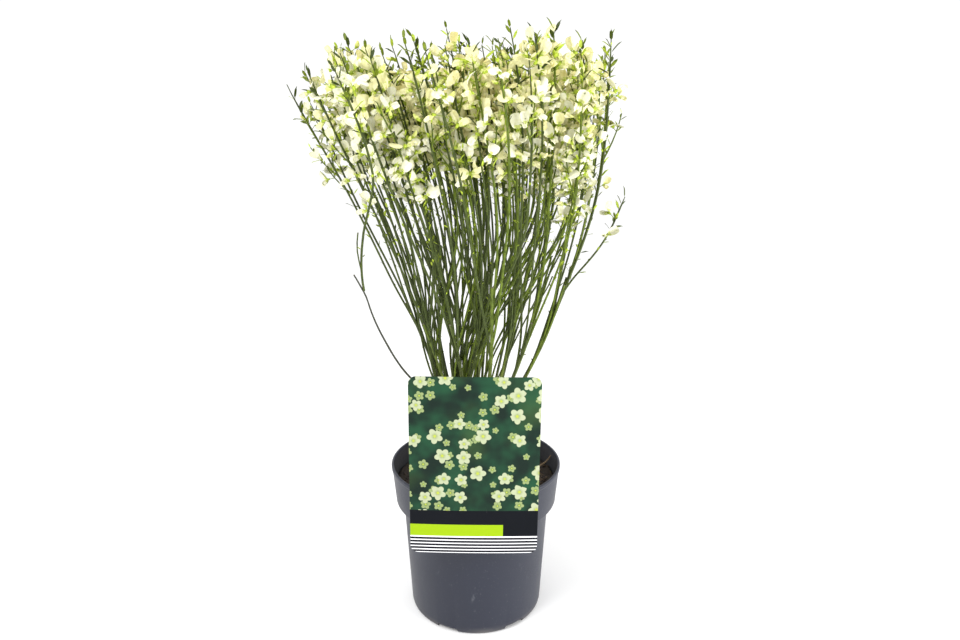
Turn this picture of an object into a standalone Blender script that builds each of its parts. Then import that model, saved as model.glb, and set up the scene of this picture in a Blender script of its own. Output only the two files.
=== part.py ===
"""Potted white broom, built piece by piece: a nursery pot of soil with its picture card, a short
trunk, the boughs that fan out of it, and the mass of flowering whips on each bough.
Metres, +Z up, origin under the middle of the pot, -Y towards the card."""

import math
import random
from collections import namedtuple

import bmesh
import bpy
from mathutils import Matrix, Vector

MM = 0.001
CLEAR = 0.35 * MM  # what touching pieces keep between them

# Pot, turned about Z
POT_HEIGHT = 154 * MM
RIM_RADIUS = 85 * MM
RIM_BEAD = (0.8 * MM, 4 * MM)  # how far it stands out of the skirt, and its height
WALL = 1.6 * MM
FLOOR = 1.8 * MM
SKIRT_HEIGHT = 38 * MM
SKIRT_FOOT_RADIUS = 81 * MM
STEP_DROP = 3 * MM  # the slope of the step from the skirt in to the body
BODY_TOP_RADIUS = 73.6 * MM
BODY_FOOT_RADIUS = 67.4 * MM
STAND_RADIUS = 65.0 * MM
FOOT_ROUND = 4.5 * MM
TURN_STEPS = 32
NOTCHES = 6
NOTCH_TURN = math.radians(5)
NOTCH_WIDTH = 22 * MM
NOTCH_HEIGHT = 4.5 * MM
NOTCH_REACH = (61 * MM, 72 * MM)

# Soil and trunk
SOIL_LEVEL = 136 * MM
SOIL_EDGE_DROP = 2.5 * MM
SOIL_FLAT = 24 * MM  # radius of the level ground round the trunk
TRUNK_SIDES = 12
TRUNK_RINGS = ((0, 17.5), (2.5, 13.6), (8, 10.5), (18, 11.5), (30, 16.4), (37, 20.6))  # height, radius
TRUNK_LEAN = 5 * MM  # how far to the right of its head the trunk stands
TRUNK_RIDGES = 5
TRUNK_RIDGE_DEPTH = 0.13  # share of the radius, less with each ring
DOME_RADIUS = 33 * MM  # the trunk's head is a cap of a sphere about the foot of the fan
DOME_EDGE = 20 * MM
DOME_RINGS = (1.0, 0.72, 0.38)  # shares of its edge radius

# Picture card hooked on the rim
CARD_WIDTH = 115 * MM
CARD_FOOT_Z = 101.7 * MM
CARD_TOP_Z = 269.7 * MM
CARD_MIDDLE_X = -0.8 * MM
CARD_LEAN = math.radians(0.55)  # its top leans to the right
CARD_THICK = 0.7 * MM
CARD_CORNER = 7 * MM
CARD_BOW_TOP = 1.2 * MM
CARD_BOW_FOOT = 1.5 * MM
CARD_STRIPS = 14
HOOK_WIDTH = 22 * MM
HOOK_DEPTH = 18 * MM
HOOK_THICK = 0.8 * MM
HOOK_RISE = 4 * MM  # how far above the rim it is welded to the card

# The fan: every stem keeps its place (u, v) in a disc that widens with height
FAN_FOOT_Z = 150 * MM
FAN_FULL_Z = 517 * MM
FAN_REACH_X = 145 * MM
FAN_REACH_Y = 138 * MM
FAN_OPENING = 1.345  # how fast the disc widens at the foot; it slows towards full spread
LEAN_PEAK_Z = 290 * MM
LEAN_PEAK_X = 8 * MM
LEAN_CURVE = 0.52  # metres of lean to the left for each square metre of height from the peak

# Limbs: one in the middle, then two rings
RINGS = ((1, 0.0, 0.0), (6, 0.48, 0.35), (12, 0.94, 0.1))  # count, radius in the disc, first angle
BOUGH_SIDES = 5
BOUGH_FOOT_RADIUS = 2.75 * MM
BOUGH_TIP_RADIUS = 2.35 * MM
BOUGH_STEPS = 5
BOUGH_TIP_Z = (232 * MM, 256 * MM)
STUB_Z = (300 * MM, 362 * MM)  # the stem inside a mass was pruned in this band
STUB_RADIUS = 1.9 * MM
STEM_STEPS = 3
FORK_OVER_FOOT = 6 * MM
FORK_UNDER_STUB = 5 * MM

# The bowed twig on the left, outside the rest of the fan
BOWED_PATH = (  # height, then its place in the disc
    (180 * MM, -1.16, -0.44),
    (250 * MM, -1.38, -0.62),
    (288 * MM, -1.34, -0.66),
    (342 * MM, -1.16, -0.74),
    (392 * MM, -0.84, -0.92),
    (436 * MM, -0.60, -1.02),
    (517 * MM, -0.54, -1.04),
)
BOWED_TIP_Z = 282 * MM
BOWED_STUB_Z = 355 * MM
BOWED_STUB_OUT = Vector((-0.08, 0.0))  # the pruned end leans out of the twig's own line
BOWED_SLIM = 0.68

# Whips, the long green shoots
WHIP_COUNT = 79
WHIP_REACH = 0.99
WHIP_JITTER = 0.03
WHIP_ROOT_RADIUS = 1.35 * MM
WHIP_TIP_RADIUS = 0.75 * MM
WHIP_STEPS = 4
WHIP_SPREAD_SHARE = 0.55  # share of a whip's height in which it leaves its stem
TIP_Z = 556 * MM
TIP_TILT = 12 * MM
TIP_DROP = (27 * MM, 32 * MM)  # lower towards the sides, and towards the front and the back
TIP_CHANGE = (-20 * MM, 11 * MM)
FORK_Z = (246 * MM, 302 * MM)
FAR_TIPS = (  # the whips that reach furthest to the sides: place and height of the tip
    (-1.01, -0.06, 519 * MM),
    (0.97, 0.10, 541 * MM),
    (0.91, -0.30, 553 * MM),
)
SPRIG = Vector((1.24, 0.09))  # the low sprig on the right
SPRIG_Z = (322 * MM, 368 * MM, 421 * MM)  # its fork, its lowest blossom and its tip
BLOOM_Z = (392 * MM, 428 * MM)
CELL_GAP = 0.055  # least distance from a whip's place to its cell's edge, in the disc
CELL_MARGIN = 0.5 * MM
GOLDEN_ANGLE = math.radians(137.508)

# Blossom, larger than life because it is fewer, and the leafy bud that ends a whip
BLOSSOM = Vector((14.0, 10.0, 18.0)) * MM  # width, depth, length
BLOSSOM_BELLY = 0.62  # share of the length at which it is widest
BLOSSOMS_A_WHIP = 5
BUD_LENGTH = 13 * MM
BUD_RADIUS = 2.3 * MM
BUD_TIP_RADIUS = 0.5 * MM
TRIES = 7

Limb = namedtuple("Limb", "name place tip_z stub_z whips")
Whip = namedtuple("Whip", "place fork_z settle_z tip_z bloom_z turn")


# Scene, collections and materials


def clear_scene():
    for obj in list(bpy.data.objects):
        bpy.data.objects.remove(obj, do_unlink=True)


def new_collection(name, helper=False):
    collection = bpy.data.collections.new(name)
    collection.hide_render = helper
    bpy.context.scene.collection.children.link(collection)
    return collection


def new_material(name, colour, roughness, metallic=0.0):
    material = bpy.data.materials.new(name)
    material.use_nodes = True
    shader = material.node_tree.nodes["Principled BSDF"]
    shader.inputs["Base Color"].default_value = (*colour, 1.0)
    shader.inputs["Roughness"].default_value = roughness
    shader.inputs["Metallic"].default_value = metallic
    return material


clear_scene()
PLANT = new_collection("potted_white_broom")
CUTTERS = new_collection("cutters", helper=True)
POT_PLASTIC = new_material("pot_plastic", (0.085, 0.09, 0.11), 0.45)
SOIL = new_material("soil", (0.05, 0.03, 0.02), 0.95)
CARD_PRINT = new_material("card_print", (0.03, 0.14, 0.09), 0.3)
BARK = new_material("bark", (0.16, 0.15, 0.06), 0.8)
GREEN_STEM = new_material("green_stem", (0.12, 0.18, 0.04), 0.6)
BLOOM = new_material("bloom", (0.85, 0.88, 0.62), 0.5)


def add_mesh(name, bm, material, collection=PLANT):
    mesh = bpy.data.meshes.new(name)
    bm.to_mesh(mesh)
    bm.free()
    mesh.materials.append(material)
    obj = bpy.data.objects.new(name, mesh)
    collection.objects.link(obj)
    return obj


def shade(obj, angle=math.radians(35)):
    obj.data.shade_smooth()
    obj.data.set_sharp_from_angle(angle=angle)
    return obj


def between(span, share):
    return span[0] + (span[1] - span[0]) * share


def smooth(share):
    share = min(1.0, max(0.0, share))
    return share * share * (3 - 2 * share)


# Turned pieces


def turned(name, profile, material):
    """A solid turned about Z from (radius, height) points that start and end on the axis."""
    bm = bmesh.new()
    points = [bm.verts.new((radius, 0, height)) for radius, height in profile]
    for first, second in zip(points, points[1:]):
        bm.edges.new((first, second))
    obj = add_mesh(name, bm, material)
    screw = obj.modifiers.new("Turn", "SCREW")
    screw.steps = screw.render_steps = TURN_STEPS
    screw.use_merge_vertices = True
    screw.merge_threshold = 0.01 * MM
    screw.use_smooth_shade = True
    return obj


SKIRT_FOOT_Z = POT_HEIGHT - SKIRT_HEIGHT


def body_radius(z, inset=0.0):
    share = (z - FOOT_ROUND) / (SKIRT_FOOT_Z - STEP_DROP - FOOT_ROUND)
    return BODY_FOOT_RADIUS + (BODY_TOP_RADIUS - BODY_FOOT_RADIUS) * share - inset


def skirt_radius(z, inset=0.0):
    share = (z - SKIRT_FOOT_Z) / SKIRT_HEIGHT
    return SKIRT_FOOT_RADIUS + (RIM_RADIUS - RIM_BEAD[0] - SKIRT_FOOT_RADIUS) * share - inset


def build_pot():
    """A thin nursery pot: a skirt under the rim, a step in to the body, a rounded foot."""
    bead, bead_height = RIM_BEAD
    bead_z = POT_HEIGHT - bead_height
    step_z = SKIRT_FOOT_Z - STEP_DROP
    inner = [
        (0, FLOOR),
        (STAND_RADIUS - WALL, FLOOR),
        (body_radius(FOOT_ROUND, WALL), FOOT_ROUND),
        (body_radius(step_z, WALL), step_z + WALL),
        (skirt_radius(SKIRT_FOOT_Z, WALL), SKIRT_FOOT_Z + WALL),
        (skirt_radius(POT_HEIGHT, WALL), POT_HEIGHT),
    ]
    rim = [
        (RIM_RADIUS - 0.6 * bead, POT_HEIGHT),
        (RIM_RADIUS, POT_HEIGHT - bead),
        (RIM_RADIUS, bead_z),
        (skirt_radius(bead_z), bead_z - bead),
    ]
    outer = [
        (skirt_radius(SKIRT_FOOT_Z), SKIRT_FOOT_Z),
        (skirt_radius(SKIRT_FOOT_Z) - MM, SKIRT_FOOT_Z - MM),
        (body_radius(step_z), step_z),
        (body_radius(FOOT_ROUND), FOOT_ROUND),
        (BODY_FOOT_RADIUS - 0.6 * MM, 0.4 * FOOT_ROUND),
        (STAND_RADIUS, 0),
        (0, 0),
    ]
    pot = turned("pot", inner + rim + outer, POT_PLASTIC)
    cut_drain_notches(pot)
    return pot


def cut_drain_notches(pot):
    """Water leaves by notches through the foot of the wall and the edge of the floor."""
    inner, outer = NOTCH_REACH
    for index in range(NOTCHES):
        bm = bmesh.new()
        bmesh.ops.create_cube(bm, size=1.0)
        bmesh.ops.scale(bm, vec=(outer - inner, NOTCH_WIDTH, 2 * NOTCH_HEIGHT), verts=bm.verts)
        cutter = add_mesh(f"notch_cutter_{index}", bm, POT_PLASTIC, CUTTERS)
        angle = NOTCH_TURN + 2 * math.pi * index / NOTCHES
        cutter.location = 0.5 * (inner + outer) * Vector((math.cos(angle), math.sin(angle), 0))
        cutter.rotation_euler.z = angle
        cutter.hide_render = True
        cutter.display_type = "WIRE"
        cut = pot.modifiers.new(f"Notch {index}", "BOOLEAN")
        cut.operation = "DIFFERENCE"
        cut.object = cutter


def build_soil():
    """The potting soil fills the pot to just under the rim, and lies flat round the trunk."""
    wall = WALL + CLEAR
    step_z = SKIRT_FOOT_Z - STEP_DROP
    low = FLOOR + CLEAR
    edge_z = SOIL_LEVEL - SOIL_EDGE_DROP
    profile = [
        (0, SOIL_LEVEL),
        (SOIL_FLAT, SOIL_LEVEL),
        (0.6 * RIM_RADIUS, SOIL_LEVEL - 0.3 * SOIL_EDGE_DROP),
        (skirt_radius(edge_z, wall), edge_z),
        (skirt_radius(SKIRT_FOOT_Z, wall), SKIRT_FOOT_Z + wall + CLEAR),
        (body_radius(step_z, wall), step_z + wall + CLEAR),
        (body_radius(FOOT_ROUND, wall), FOOT_ROUND),
        (STAND_RADIUS - wall, low),
        (0, low),
    ]
    return turned("soil", profile, SOIL)


# The card


def card_bow(x, z):
    """How far the card curves back from its middle line: more at its free foot than at its top."""
    share = (z - CARD_FOOT_Z) / (CARD_TOP_Z - CARD_FOOT_Z)
    bow = between((CARD_BOW_FOOT, CARD_BOW_TOP), share)
    return bow * ((x - CARD_MIDDLE_X) / (0.5 * CARD_WIDTH)) ** 2


def rounded_outline(width, height, corner, corner_steps=4):
    """The corners of a rounded rectangle about its own middle, in order round it."""
    points = []
    for quarter in range(4):
        side_x, side_y = ((1, 1), (-1, 1), (-1, -1), (1, -1))[quarter]
        middle = Vector((side_x * (width / 2 - corner), side_y * (height / 2 - corner)))
        for step in range(corner_steps + 1):
            angle = 0.5 * math.pi * (quarter + step / corner_steps)
            points.append(middle + corner * Vector((math.cos(angle), math.sin(angle))))
    return points


def build_card():
    """A plastic picture card that stands up from the rim, bowed a little, with a hook behind it."""
    face_y = -(RIM_RADIUS + CLEAR)
    height = CARD_TOP_Z - CARD_FOOT_Z
    middle_z = CARD_FOOT_Z + 0.5 * height
    bm = bmesh.new()
    lean = Matrix.Rotation(-CARD_LEAN, 2)
    outline = [lean @ point for point in rounded_outline(CARD_WIDTH, height, CARD_CORNER)]
    bm.faces.new([bm.verts.new((CARD_MIDDLE_X + p.x, 0, middle_z + p.y)) for p in outline])
    for strip in range(1, CARD_STRIPS):
        x = CARD_MIDDLE_X + CARD_WIDTH * (strip / CARD_STRIPS - 0.5)
        everything = bm.verts[:] + bm.edges[:] + bm.faces[:]
        bmesh.ops.bisect_plane(bm, geom=everything, plane_co=(x, 0, 0), plane_no=(1, 0, 0))
    for vert in bm.verts:
        vert.co.y = face_y - CARD_THICK + card_bow(vert.co.x, vert.co.z)
    bmesh.ops.recalc_face_normals(bm, faces=bm.faces)
    if sum(face.normal.y for face in bm.faces) > 0:
        bmesh.ops.reverse_faces(bm, faces=bm.faces)
    card = add_mesh("picture_card", bm, CARD_PRINT)
    thick = card.modifiers.new("Card", "SOLIDIFY")
    thick.thickness = CARD_THICK
    thick.offset = -1.0
    hook = build_hook(face_y)
    join = card.modifiers.new("Hook", "BOOLEAN")
    join.operation = "UNION"
    join.object = hook
    return card


def build_hook(face_y):
    """The strip behind the card that goes over the rim and down inside the pot."""
    over_z = POT_HEIGHT + CLEAR
    foot_z = POT_HEIGHT - HOOK_DEPTH
    inside_y = -(skirt_radius(foot_z, WALL) - CLEAR - 0.9 * MM)
    back_y = face_y + 0.2 * MM
    points = (
        (face_y - 0.5 * CARD_THICK, over_z + HOOK_RISE),
        (face_y - 0.5 * CARD_THICK, over_z),
        (inside_y, over_z),
        (inside_y, foot_z),
        (inside_y + HOOK_THICK, foot_z),
        (inside_y + HOOK_THICK, over_z + HOOK_THICK),
        (back_y, over_z + HOOK_THICK),
        (back_y, over_z + HOOK_RISE),
    )
    bm = bmesh.new()
    face = bm.faces.new([bm.verts.new((-0.5 * HOOK_WIDTH, y, z)) for y, z in points])
    made = bmesh.ops.extrude_face_region(bm, geom=[face])
    moved = [item for item in made["geom"] if isinstance(item, bmesh.types.BMVert)]
    bmesh.ops.translate(bm, vec=(HOOK_WIDTH, 0, 0), verts=moved)
    bmesh.ops.recalc_face_normals(bm, faces=bm.faces)
    hook = add_mesh("hook_strip", bm, CARD_PRINT, CUTTERS)
    hook.hide_render = True
    hook.display_type = "WIRE"
    return hook


# The fan's rule


def fan_axis_x(z):
    return LEAN_PEAK_X - LEAN_CURVE * (z - LEAN_PEAK_Z) ** 2


def fan_spread(z):
    share = (z - FAN_FOOT_Z) / (FAN_FULL_Z - FAN_FOOT_Z)
    return FAN_OPENING * share - (FAN_OPENING - 1) * share * share


def fan_point(place, z):
    """Where the place (u, v) of the disc lies at height z."""
    spread = fan_spread(z)
    return Vector((fan_axis_x(z) + FAN_REACH_X * spread * place.x, FAN_REACH_Y * spread * place.y, z))


def fan_place(point):
    """The place (u, v) of a point: the rule of fan_point turned round."""
    spread = fan_spread(point.z)
    u = (point.x - fan_axis_x(point.z)) / (FAN_REACH_X * spread)
    return Vector((u, point.y / (FAN_REACH_Y * spread)))


def ring_places():
    places = []
    for count, radius, first in RINGS:
        for index in range(count):
            angle = first + 2 * math.pi * index / count
            places.append(radius * Vector((math.cos(angle), math.sin(angle))))
    return places


PLACES = ring_places()
BOWED = len(PLACES)  # the bowed twig comes after the ring limbs
BOWED_HEIGHTS = [row[0] for row in BOWED_PATH]


def limb_place(index, z):
    """The place of a limb at height z. Ring limbs keep theirs; the bowed twig swings out and back."""
    if index < BOWED:
        return PLACES[index]
    for low, high in zip(BOWED_PATH, BOWED_PATH[1:]):
        if z <= high[0]:
            break
    share = min(1.0, max(0.0, (z - low[0]) / (high[0] - low[0])))
    return Vector(low[1:]).lerp(Vector(high[1:]), share)


def cell_distance(index, place, z):
    """How far inside limb index's cell a place is, in the disc: under 0 it belongs to another."""
    own = limb_place(index, z)
    least = 9.0
    for other in range(BOWED + 1):
        if other == index:
            continue
        site = limb_place(other, z)
        apart = (site - own).length
        least = min(least, ((place - site).length_squared - (place - own).length_squared) / (2 * apart))
    return least


def inside_cell(index, point):
    room = cell_distance(index, fan_place(point), point.z)
    return room * min(FAN_REACH_X, FAN_REACH_Y) * fan_spread(point.z) > CELL_MARGIN


def nearest_limb(place):
    return min(range(BOWED), key=lambda index: (PLACES[index] - place).length)


def spiral_place(draw, number):
    """Whip number k stands on a sunflower spiral, nudged, and is pulled off its cell's edge."""
    radius = WHIP_REACH * math.sqrt((number + 0.5) / WHIP_COUNT)
    angle = number * GOLDEN_ANGLE
    place = radius * Vector((math.cos(angle), math.sin(angle)))
    place += Vector([draw.uniform(-WHIP_JITTER, WHIP_JITTER) for _ in range(2)])
    limb = nearest_limb(place)
    while min(cell_distance(limb, place, z) for z in BOWED_HEIGHTS) < CELL_GAP:
        place = place.lerp(PLACES[limb], 0.1)
    return place


def whip_rule(number):
    """The whip that stands at place number k. The last numbers are the far tips."""
    draw = random.Random(4100 + number)
    if number < WHIP_COUNT:
        place = spiral_place(draw, number)
        drop = TIP_DROP[0] * place.x**2 + TIP_DROP[1] * place.y**2
        tip_z = TIP_Z + TIP_TILT * place.x - drop + between(TIP_CHANGE, draw.random())
    else:
        x, y, tip_z = FAR_TIPS[number - WHIP_COUNT]
        place = Vector((x, y))
    fork_z = between(FORK_Z, draw.random())
    settle_z = between((fork_z, tip_z), WHIP_SPREAD_SHARE)
    bloom_z = between(BLOOM_Z, draw.random())
    return Whip(place, fork_z, settle_z, tip_z, bloom_z, draw.uniform(0, 2 * math.pi))


def make_limbs():
    """Every limb with the whips that stand in its cell."""
    whips = [[] for _ in range(BOWED)]
    for number in range(WHIP_COUNT + len(FAR_TIPS)):
        whip = whip_rule(number)
        whips[nearest_limb(whip.place)].append(whip)
    fork_z, bloom_z, tip_z = SPRIG_Z
    whips[nearest_limb(SPRIG)].append(Whip(SPRIG, fork_z, tip_z, tip_z, bloom_z, 1.0))
    limbs = []
    for index, place in enumerate(PLACES):
        draw = random.Random(700 + index)
        tip_z = between(BOUGH_TIP_Z, draw.random())
        highest_fork = max(whip.fork_z for whip in whips[index])
        stub_z = max(between(STUB_Z, draw.random()), highest_fork + FORK_UNDER_STUB)
        limbs.append(Limb(f"{index:02d}", place, tip_z, stub_z, whips[index]))
    end_z, x, y = BOWED_PATH[-1]
    fork_z = BOWED_STUB_Z - 3 * FORK_UNDER_STUB
    whip = Whip(Vector((x, y)), fork_z, end_z, end_z, BLOOM_Z[1], 2.0)
    limbs.append(Limb("bowed", whip.place, BOWED_TIP_Z, BOWED_STUB_Z, [whip]))
    return limbs


def whip_point(index, whip, z):
    """The middle of a whip at height z: it leaves the stem's place and settles at its own."""
    if index == BOWED:
        return fan_point(limb_place(index, z), z)
    share = min(1.0, (z - whip.fork_z) / (whip.settle_z - whip.fork_z))
    place = PLACES[index].lerp(whip.place, 2 * smooth(0.5 + 0.5 * share) - 1)
    return fan_point(place, z)


# Limbs and masses


def tube(name, points, radii, sides, material, collection=PLANT):
    """A closed tapering tube: a poly curve swept with a small polygon, made a mesh."""
    profile_data = bpy.data.curves.new(name + "_profile", "CURVE")
    profile_data.dimensions = "2D"
    ring = profile_data.splines.new("POLY")
    ring.points.add(sides - 1)
    for index, point in enumerate(ring.points):
        angle = 2 * math.pi * index / sides
        point.co = (math.cos(angle), math.sin(angle), 0, 1)
    ring.use_cyclic_u = True
    profile = bpy.data.objects.new(name + "_profile", profile_data)
    CUTTERS.objects.link(profile)
    data = bpy.data.curves.new(name, "CURVE")
    data.dimensions = "3D"
    data.bevel_mode = "OBJECT"
    data.bevel_object = profile
    data.use_fill_caps = True
    line = data.splines.new("POLY")
    line.points.add(len(points) - 1)
    for point, place, radius in zip(line.points, points, radii):
        point.co = (*place, 1)
        point.radius = radius
    swept = bpy.data.objects.new(name, data)
    PLANT.objects.link(swept)
    graph = bpy.context.evaluated_depsgraph_get()
    mesh = bpy.data.meshes.new_from_object(swept.evaluated_get(graph))
    bpy.data.objects.remove(swept)
    bpy.data.objects.remove(profile)
    bm = bmesh.new()
    bm.from_mesh(mesh)
    bpy.data.meshes.remove(mesh)
    bmesh.ops.remove_doubles(bm, verts=bm.verts, dist=0.01 * MM)
    bmesh.ops.recalc_face_normals(bm, faces=bm.faces)
    return add_mesh(name, bm, material, collection)


def path(function, low, high, steps):
    return [function(between((low, high), step / steps)) for step in range(steps + 1)]


def dome_height(place):
    """The height at which a limb meets the trunk's head, a cap about the foot of the fan."""
    low, high = FAN_FOOT_Z, FAN_FOOT_Z + DOME_RADIUS
    centre = Vector((fan_axis_x(FAN_FOOT_Z), 0, FAN_FOOT_Z))
    for _ in range(30):
        middle = 0.5 * (low + high)
        if (fan_point(place, middle) - centre).length < DOME_RADIUS + CLEAR:
            low = middle
        else:
            high = middle
    return high


def build_trunk():
    """A short trunk: root flare on the soil, a waist, and a domed head that the boughs stand on."""
    foot_z = SOIL_LEVEL + CLEAR
    edge_z = FAN_FOOT_Z + math.sqrt(DOME_RADIUS**2 - DOME_EDGE**2)
    rings = [(foot_z + height * MM, radius * MM) for height, radius in TRUNK_RINGS]
    for share in DOME_RINGS:
        radius = share * DOME_EDGE
        rings.append((FAN_FOOT_Z + math.sqrt(DOME_RADIUS**2 - radius**2), radius))
    bm = bmesh.new()
    loops = []
    for level, (z, radius) in enumerate(rings):
        depth = TRUNK_RIDGE_DEPTH / (1 + 0.5 * level) if z < edge_z else 0.0
        lean = TRUNK_LEAN * max(0.0, (edge_z - z) / (edge_z - foot_z))
        loop = []
        for side in range(TRUNK_SIDES):
            angle = 2 * math.pi * side / TRUNK_SIDES
            out = radius * (1 + depth * math.sin(TRUNK_RIDGES * angle + 0.7 * level))
            x = fan_axis_x(FAN_FOOT_Z) + lean + out * math.cos(angle)
            loop.append(bm.verts.new((x, out * math.sin(angle), z)))
        loops.append(loop)
    for lower, upper in zip(loops, loops[1:]):
        for side in range(TRUNK_SIDES):
            after = (side + 1) % TRUNK_SIDES
            bm.faces.new((lower[side], lower[after], upper[after], upper[side]))
    bm.faces.new(list(reversed(loops[0])))
    crown = bm.verts.new((fan_axis_x(FAN_FOOT_Z), 0, FAN_FOOT_Z + DOME_RADIUS))
    for side in range(TRUNK_SIDES):
        bm.faces.new((loops[-1][side], loops[-1][(side + 1) % TRUNK_SIDES], crown))
    return shade(add_mesh("trunk", bm, BARK))


def build_bough(index, limb):
    """One tapering limb from the trunk's head to the foot of its mass."""
    foot_z = dome_height(limb_place(index, FAN_FOOT_Z))
    points = path(lambda z: fan_point(limb_place(index, z), z), foot_z, limb.tip_z, BOUGH_STEPS)
    slim = BOWED_SLIM if index == BOWED else 1.0
    span = (BOUGH_FOOT_RADIUS * slim, BOUGH_TIP_RADIUS * slim)
    radii = [between(span, step / BOUGH_STEPS) for step in range(BOUGH_STEPS + 1)]
    return shade(tube(f"bough_{limb.name}", points, radii, BOUGH_SIDES, GREEN_STEM))


def stand(foot, along, across):
    """The matrix that stands a form on its foot, along a direction and wide across it."""
    along = along.normalized()
    side = (across - across.project(along)).normalized()
    turn = Matrix((side, along.cross(side), along)).transposed()
    return Matrix.Translation(foot) @ turn.to_4x4()


def blossom_corners(size):
    """The four belly corners of a blossom and its tip; its foot is at the origin."""
    belly = BLOSSOM_BELLY * size.z
    corners = [Vector((0.5 * size.x * sign, 0, belly)) for sign in (-1, 1)]
    corners += [Vector((0, 0.5 * size.y * sign, belly)) for sign in (-1, 1)]
    return corners + [Vector((0, 0, size.z))]


def build_blossom(name, size, matrix, parts):
    """A closed eight-sided form, pointed at its foot and its tip."""
    bm = bmesh.new()
    bmesh.ops.create_uvsphere(bm, u_segments=4, v_segments=2, radius=1.0)
    for vert in bm.verts:
        height = {-1: 0.0, 0: BLOSSOM_BELLY, 1: 1.0}[round(vert.co.z)]
        vert.co = Vector((0.5 * size.x * vert.co.x, 0.5 * size.y * vert.co.y, size.z * height))
    bmesh.ops.transform(bm, matrix=matrix, verts=bm.verts)
    return add_mesh(name, bm, BLOOM, parts)


def along_line(line, z):
    """The point of a rising line of points at height z, and the line's direction there."""
    for low, high in zip(line, line[1:]):
        if z <= high.z:
            break
    return low.lerp(high, (z - low.z) / (high.z - low.z)), (high - low).normalized()


def dress_whip(index, whip, line, name, parts):
    """Blossoms up the flowering stretch of a whip, a golden angle apart, where the cell has room."""
    draw = random.Random(name)
    span = (whip.bloom_z, whip.tip_z - 0.9 * BUD_LENGTH)
    for number in range(BLOSSOMS_A_WHIP):
        z = between(span, (number + draw.uniform(0.1, 0.7)) / BLOSSOMS_A_WHIP)
        size = BLOSSOM * draw.uniform(0.85, 1.12)
        middle, along = along_line(line, z)
        for attempt in range(TRIES):
            turn = whip.turn + number * GOLDEN_ANGLE + attempt * 2 * math.pi / TRIES
            level = Vector((math.cos(turn), math.sin(turn), 0))
            side = (level - level.project(along)).normalized()
            matrix = stand(middle - side * 0.2 * MM, side + 0.75 * along, side.cross(along))
            if all(inside_cell(index, matrix @ corner) for corner in blossom_corners(size)):
                build_blossom(f"{name}_blossom_{number}", size, matrix, parts)
                break


def build_whip(index, whip, name, parts):
    """A three-sided shoot from its fork to its tip, which swells into a leafy bud."""
    bud_z = whip.tip_z - BUD_LENGTH
    belly_z = whip.tip_z - 0.55 * BUD_LENGTH
    line = path(lambda z: whip_point(index, whip, z), whip.fork_z, bud_z, WHIP_STEPS)
    span = (WHIP_ROOT_RADIUS, WHIP_TIP_RADIUS)
    radii = [between(span, step / WHIP_STEPS) for step in range(WHIP_STEPS + 1)]
    line += [whip_point(index, whip, belly_z), whip_point(index, whip, whip.tip_z)]
    tube(name, line, radii + [BUD_RADIUS, BUD_TIP_RADIUS], 3, GREEN_STEM, parts)
    dress_whip(index, whip, line, name, parts)


def build_mass(index, limb):
    """One stem, pruned off flat, with the whips that branch from it and their blossoms fused on."""
    name = f"mass_{limb.name}"
    parts = bpy.data.collections.new(name + "_parts")
    bpy.context.scene.collection.children.link(parts)
    slim = BOWED_SLIM if index == BOWED else 1.0
    foot_z = limb.tip_z + CLEAR
    stem_line = path(lambda z: fan_point(limb_place(index, z), z), foot_z, limb.stub_z, STEM_STEPS)
    if index == BOWED:
        stem_line[-1] = fan_point(limb_place(index, limb.stub_z) + BOWED_STUB_OUT, limb.stub_z)
    span = (BOUGH_TIP_RADIUS * slim, STUB_RADIUS * slim)
    radii = [between(span, step / STEM_STEPS) for step in range(STEM_STEPS + 1)]
    stem = tube(name, stem_line, radii, BOUGH_SIDES, BLOOM)
    for number, whip in enumerate(limb.whips):
        whip = whip._replace(fork_z=max(whip.fork_z, foot_z + FORK_OVER_FOOT))
        build_whip(index, whip, f"{name}_whip_{number}", parts)
    join_parts(stem, parts)
    return stem


def join_parts(stem, parts):
    """Fuses everything in the collection onto the stem, then removes the separate pieces."""
    union = stem.modifiers.new("Join", "BOOLEAN")
    union.operation = "UNION"
    union.operand_type = "COLLECTION"
    union.collection = parts
    union.solver = "EXACT"
    graph = bpy.context.evaluated_depsgraph_get()
    graph.update()
    joined = bpy.data.meshes.new_from_object(stem.evaluated_get(graph))
    stem.modifiers.clear()
    stem.data = joined
    for obj in list(parts.objects):
        bpy.data.objects.remove(obj, do_unlink=True)
    bpy.data.collections.remove(parts)


build_pot()
build_soil()
build_card()
build_trunk()
for number, limb in enumerate(make_limbs()):
    build_bough(number, limb)
    build_mass(number, limb)
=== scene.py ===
# %% [markdown]
# # A potted white broom
# A broom is a shrub of long green whips. It has few leaves, and the whips themselves are ridged
# and green. In spring their upper third is packed with small pea flowers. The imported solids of
# this plant, its pot and its picture card come in first, as a fixed frame. Everything after that
# dresses them, in the same place and at the same size.

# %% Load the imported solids
import math
import random
from collections import namedtuple

import bpy
import numpy as np
from mathutils import Matrix, Vector


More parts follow.
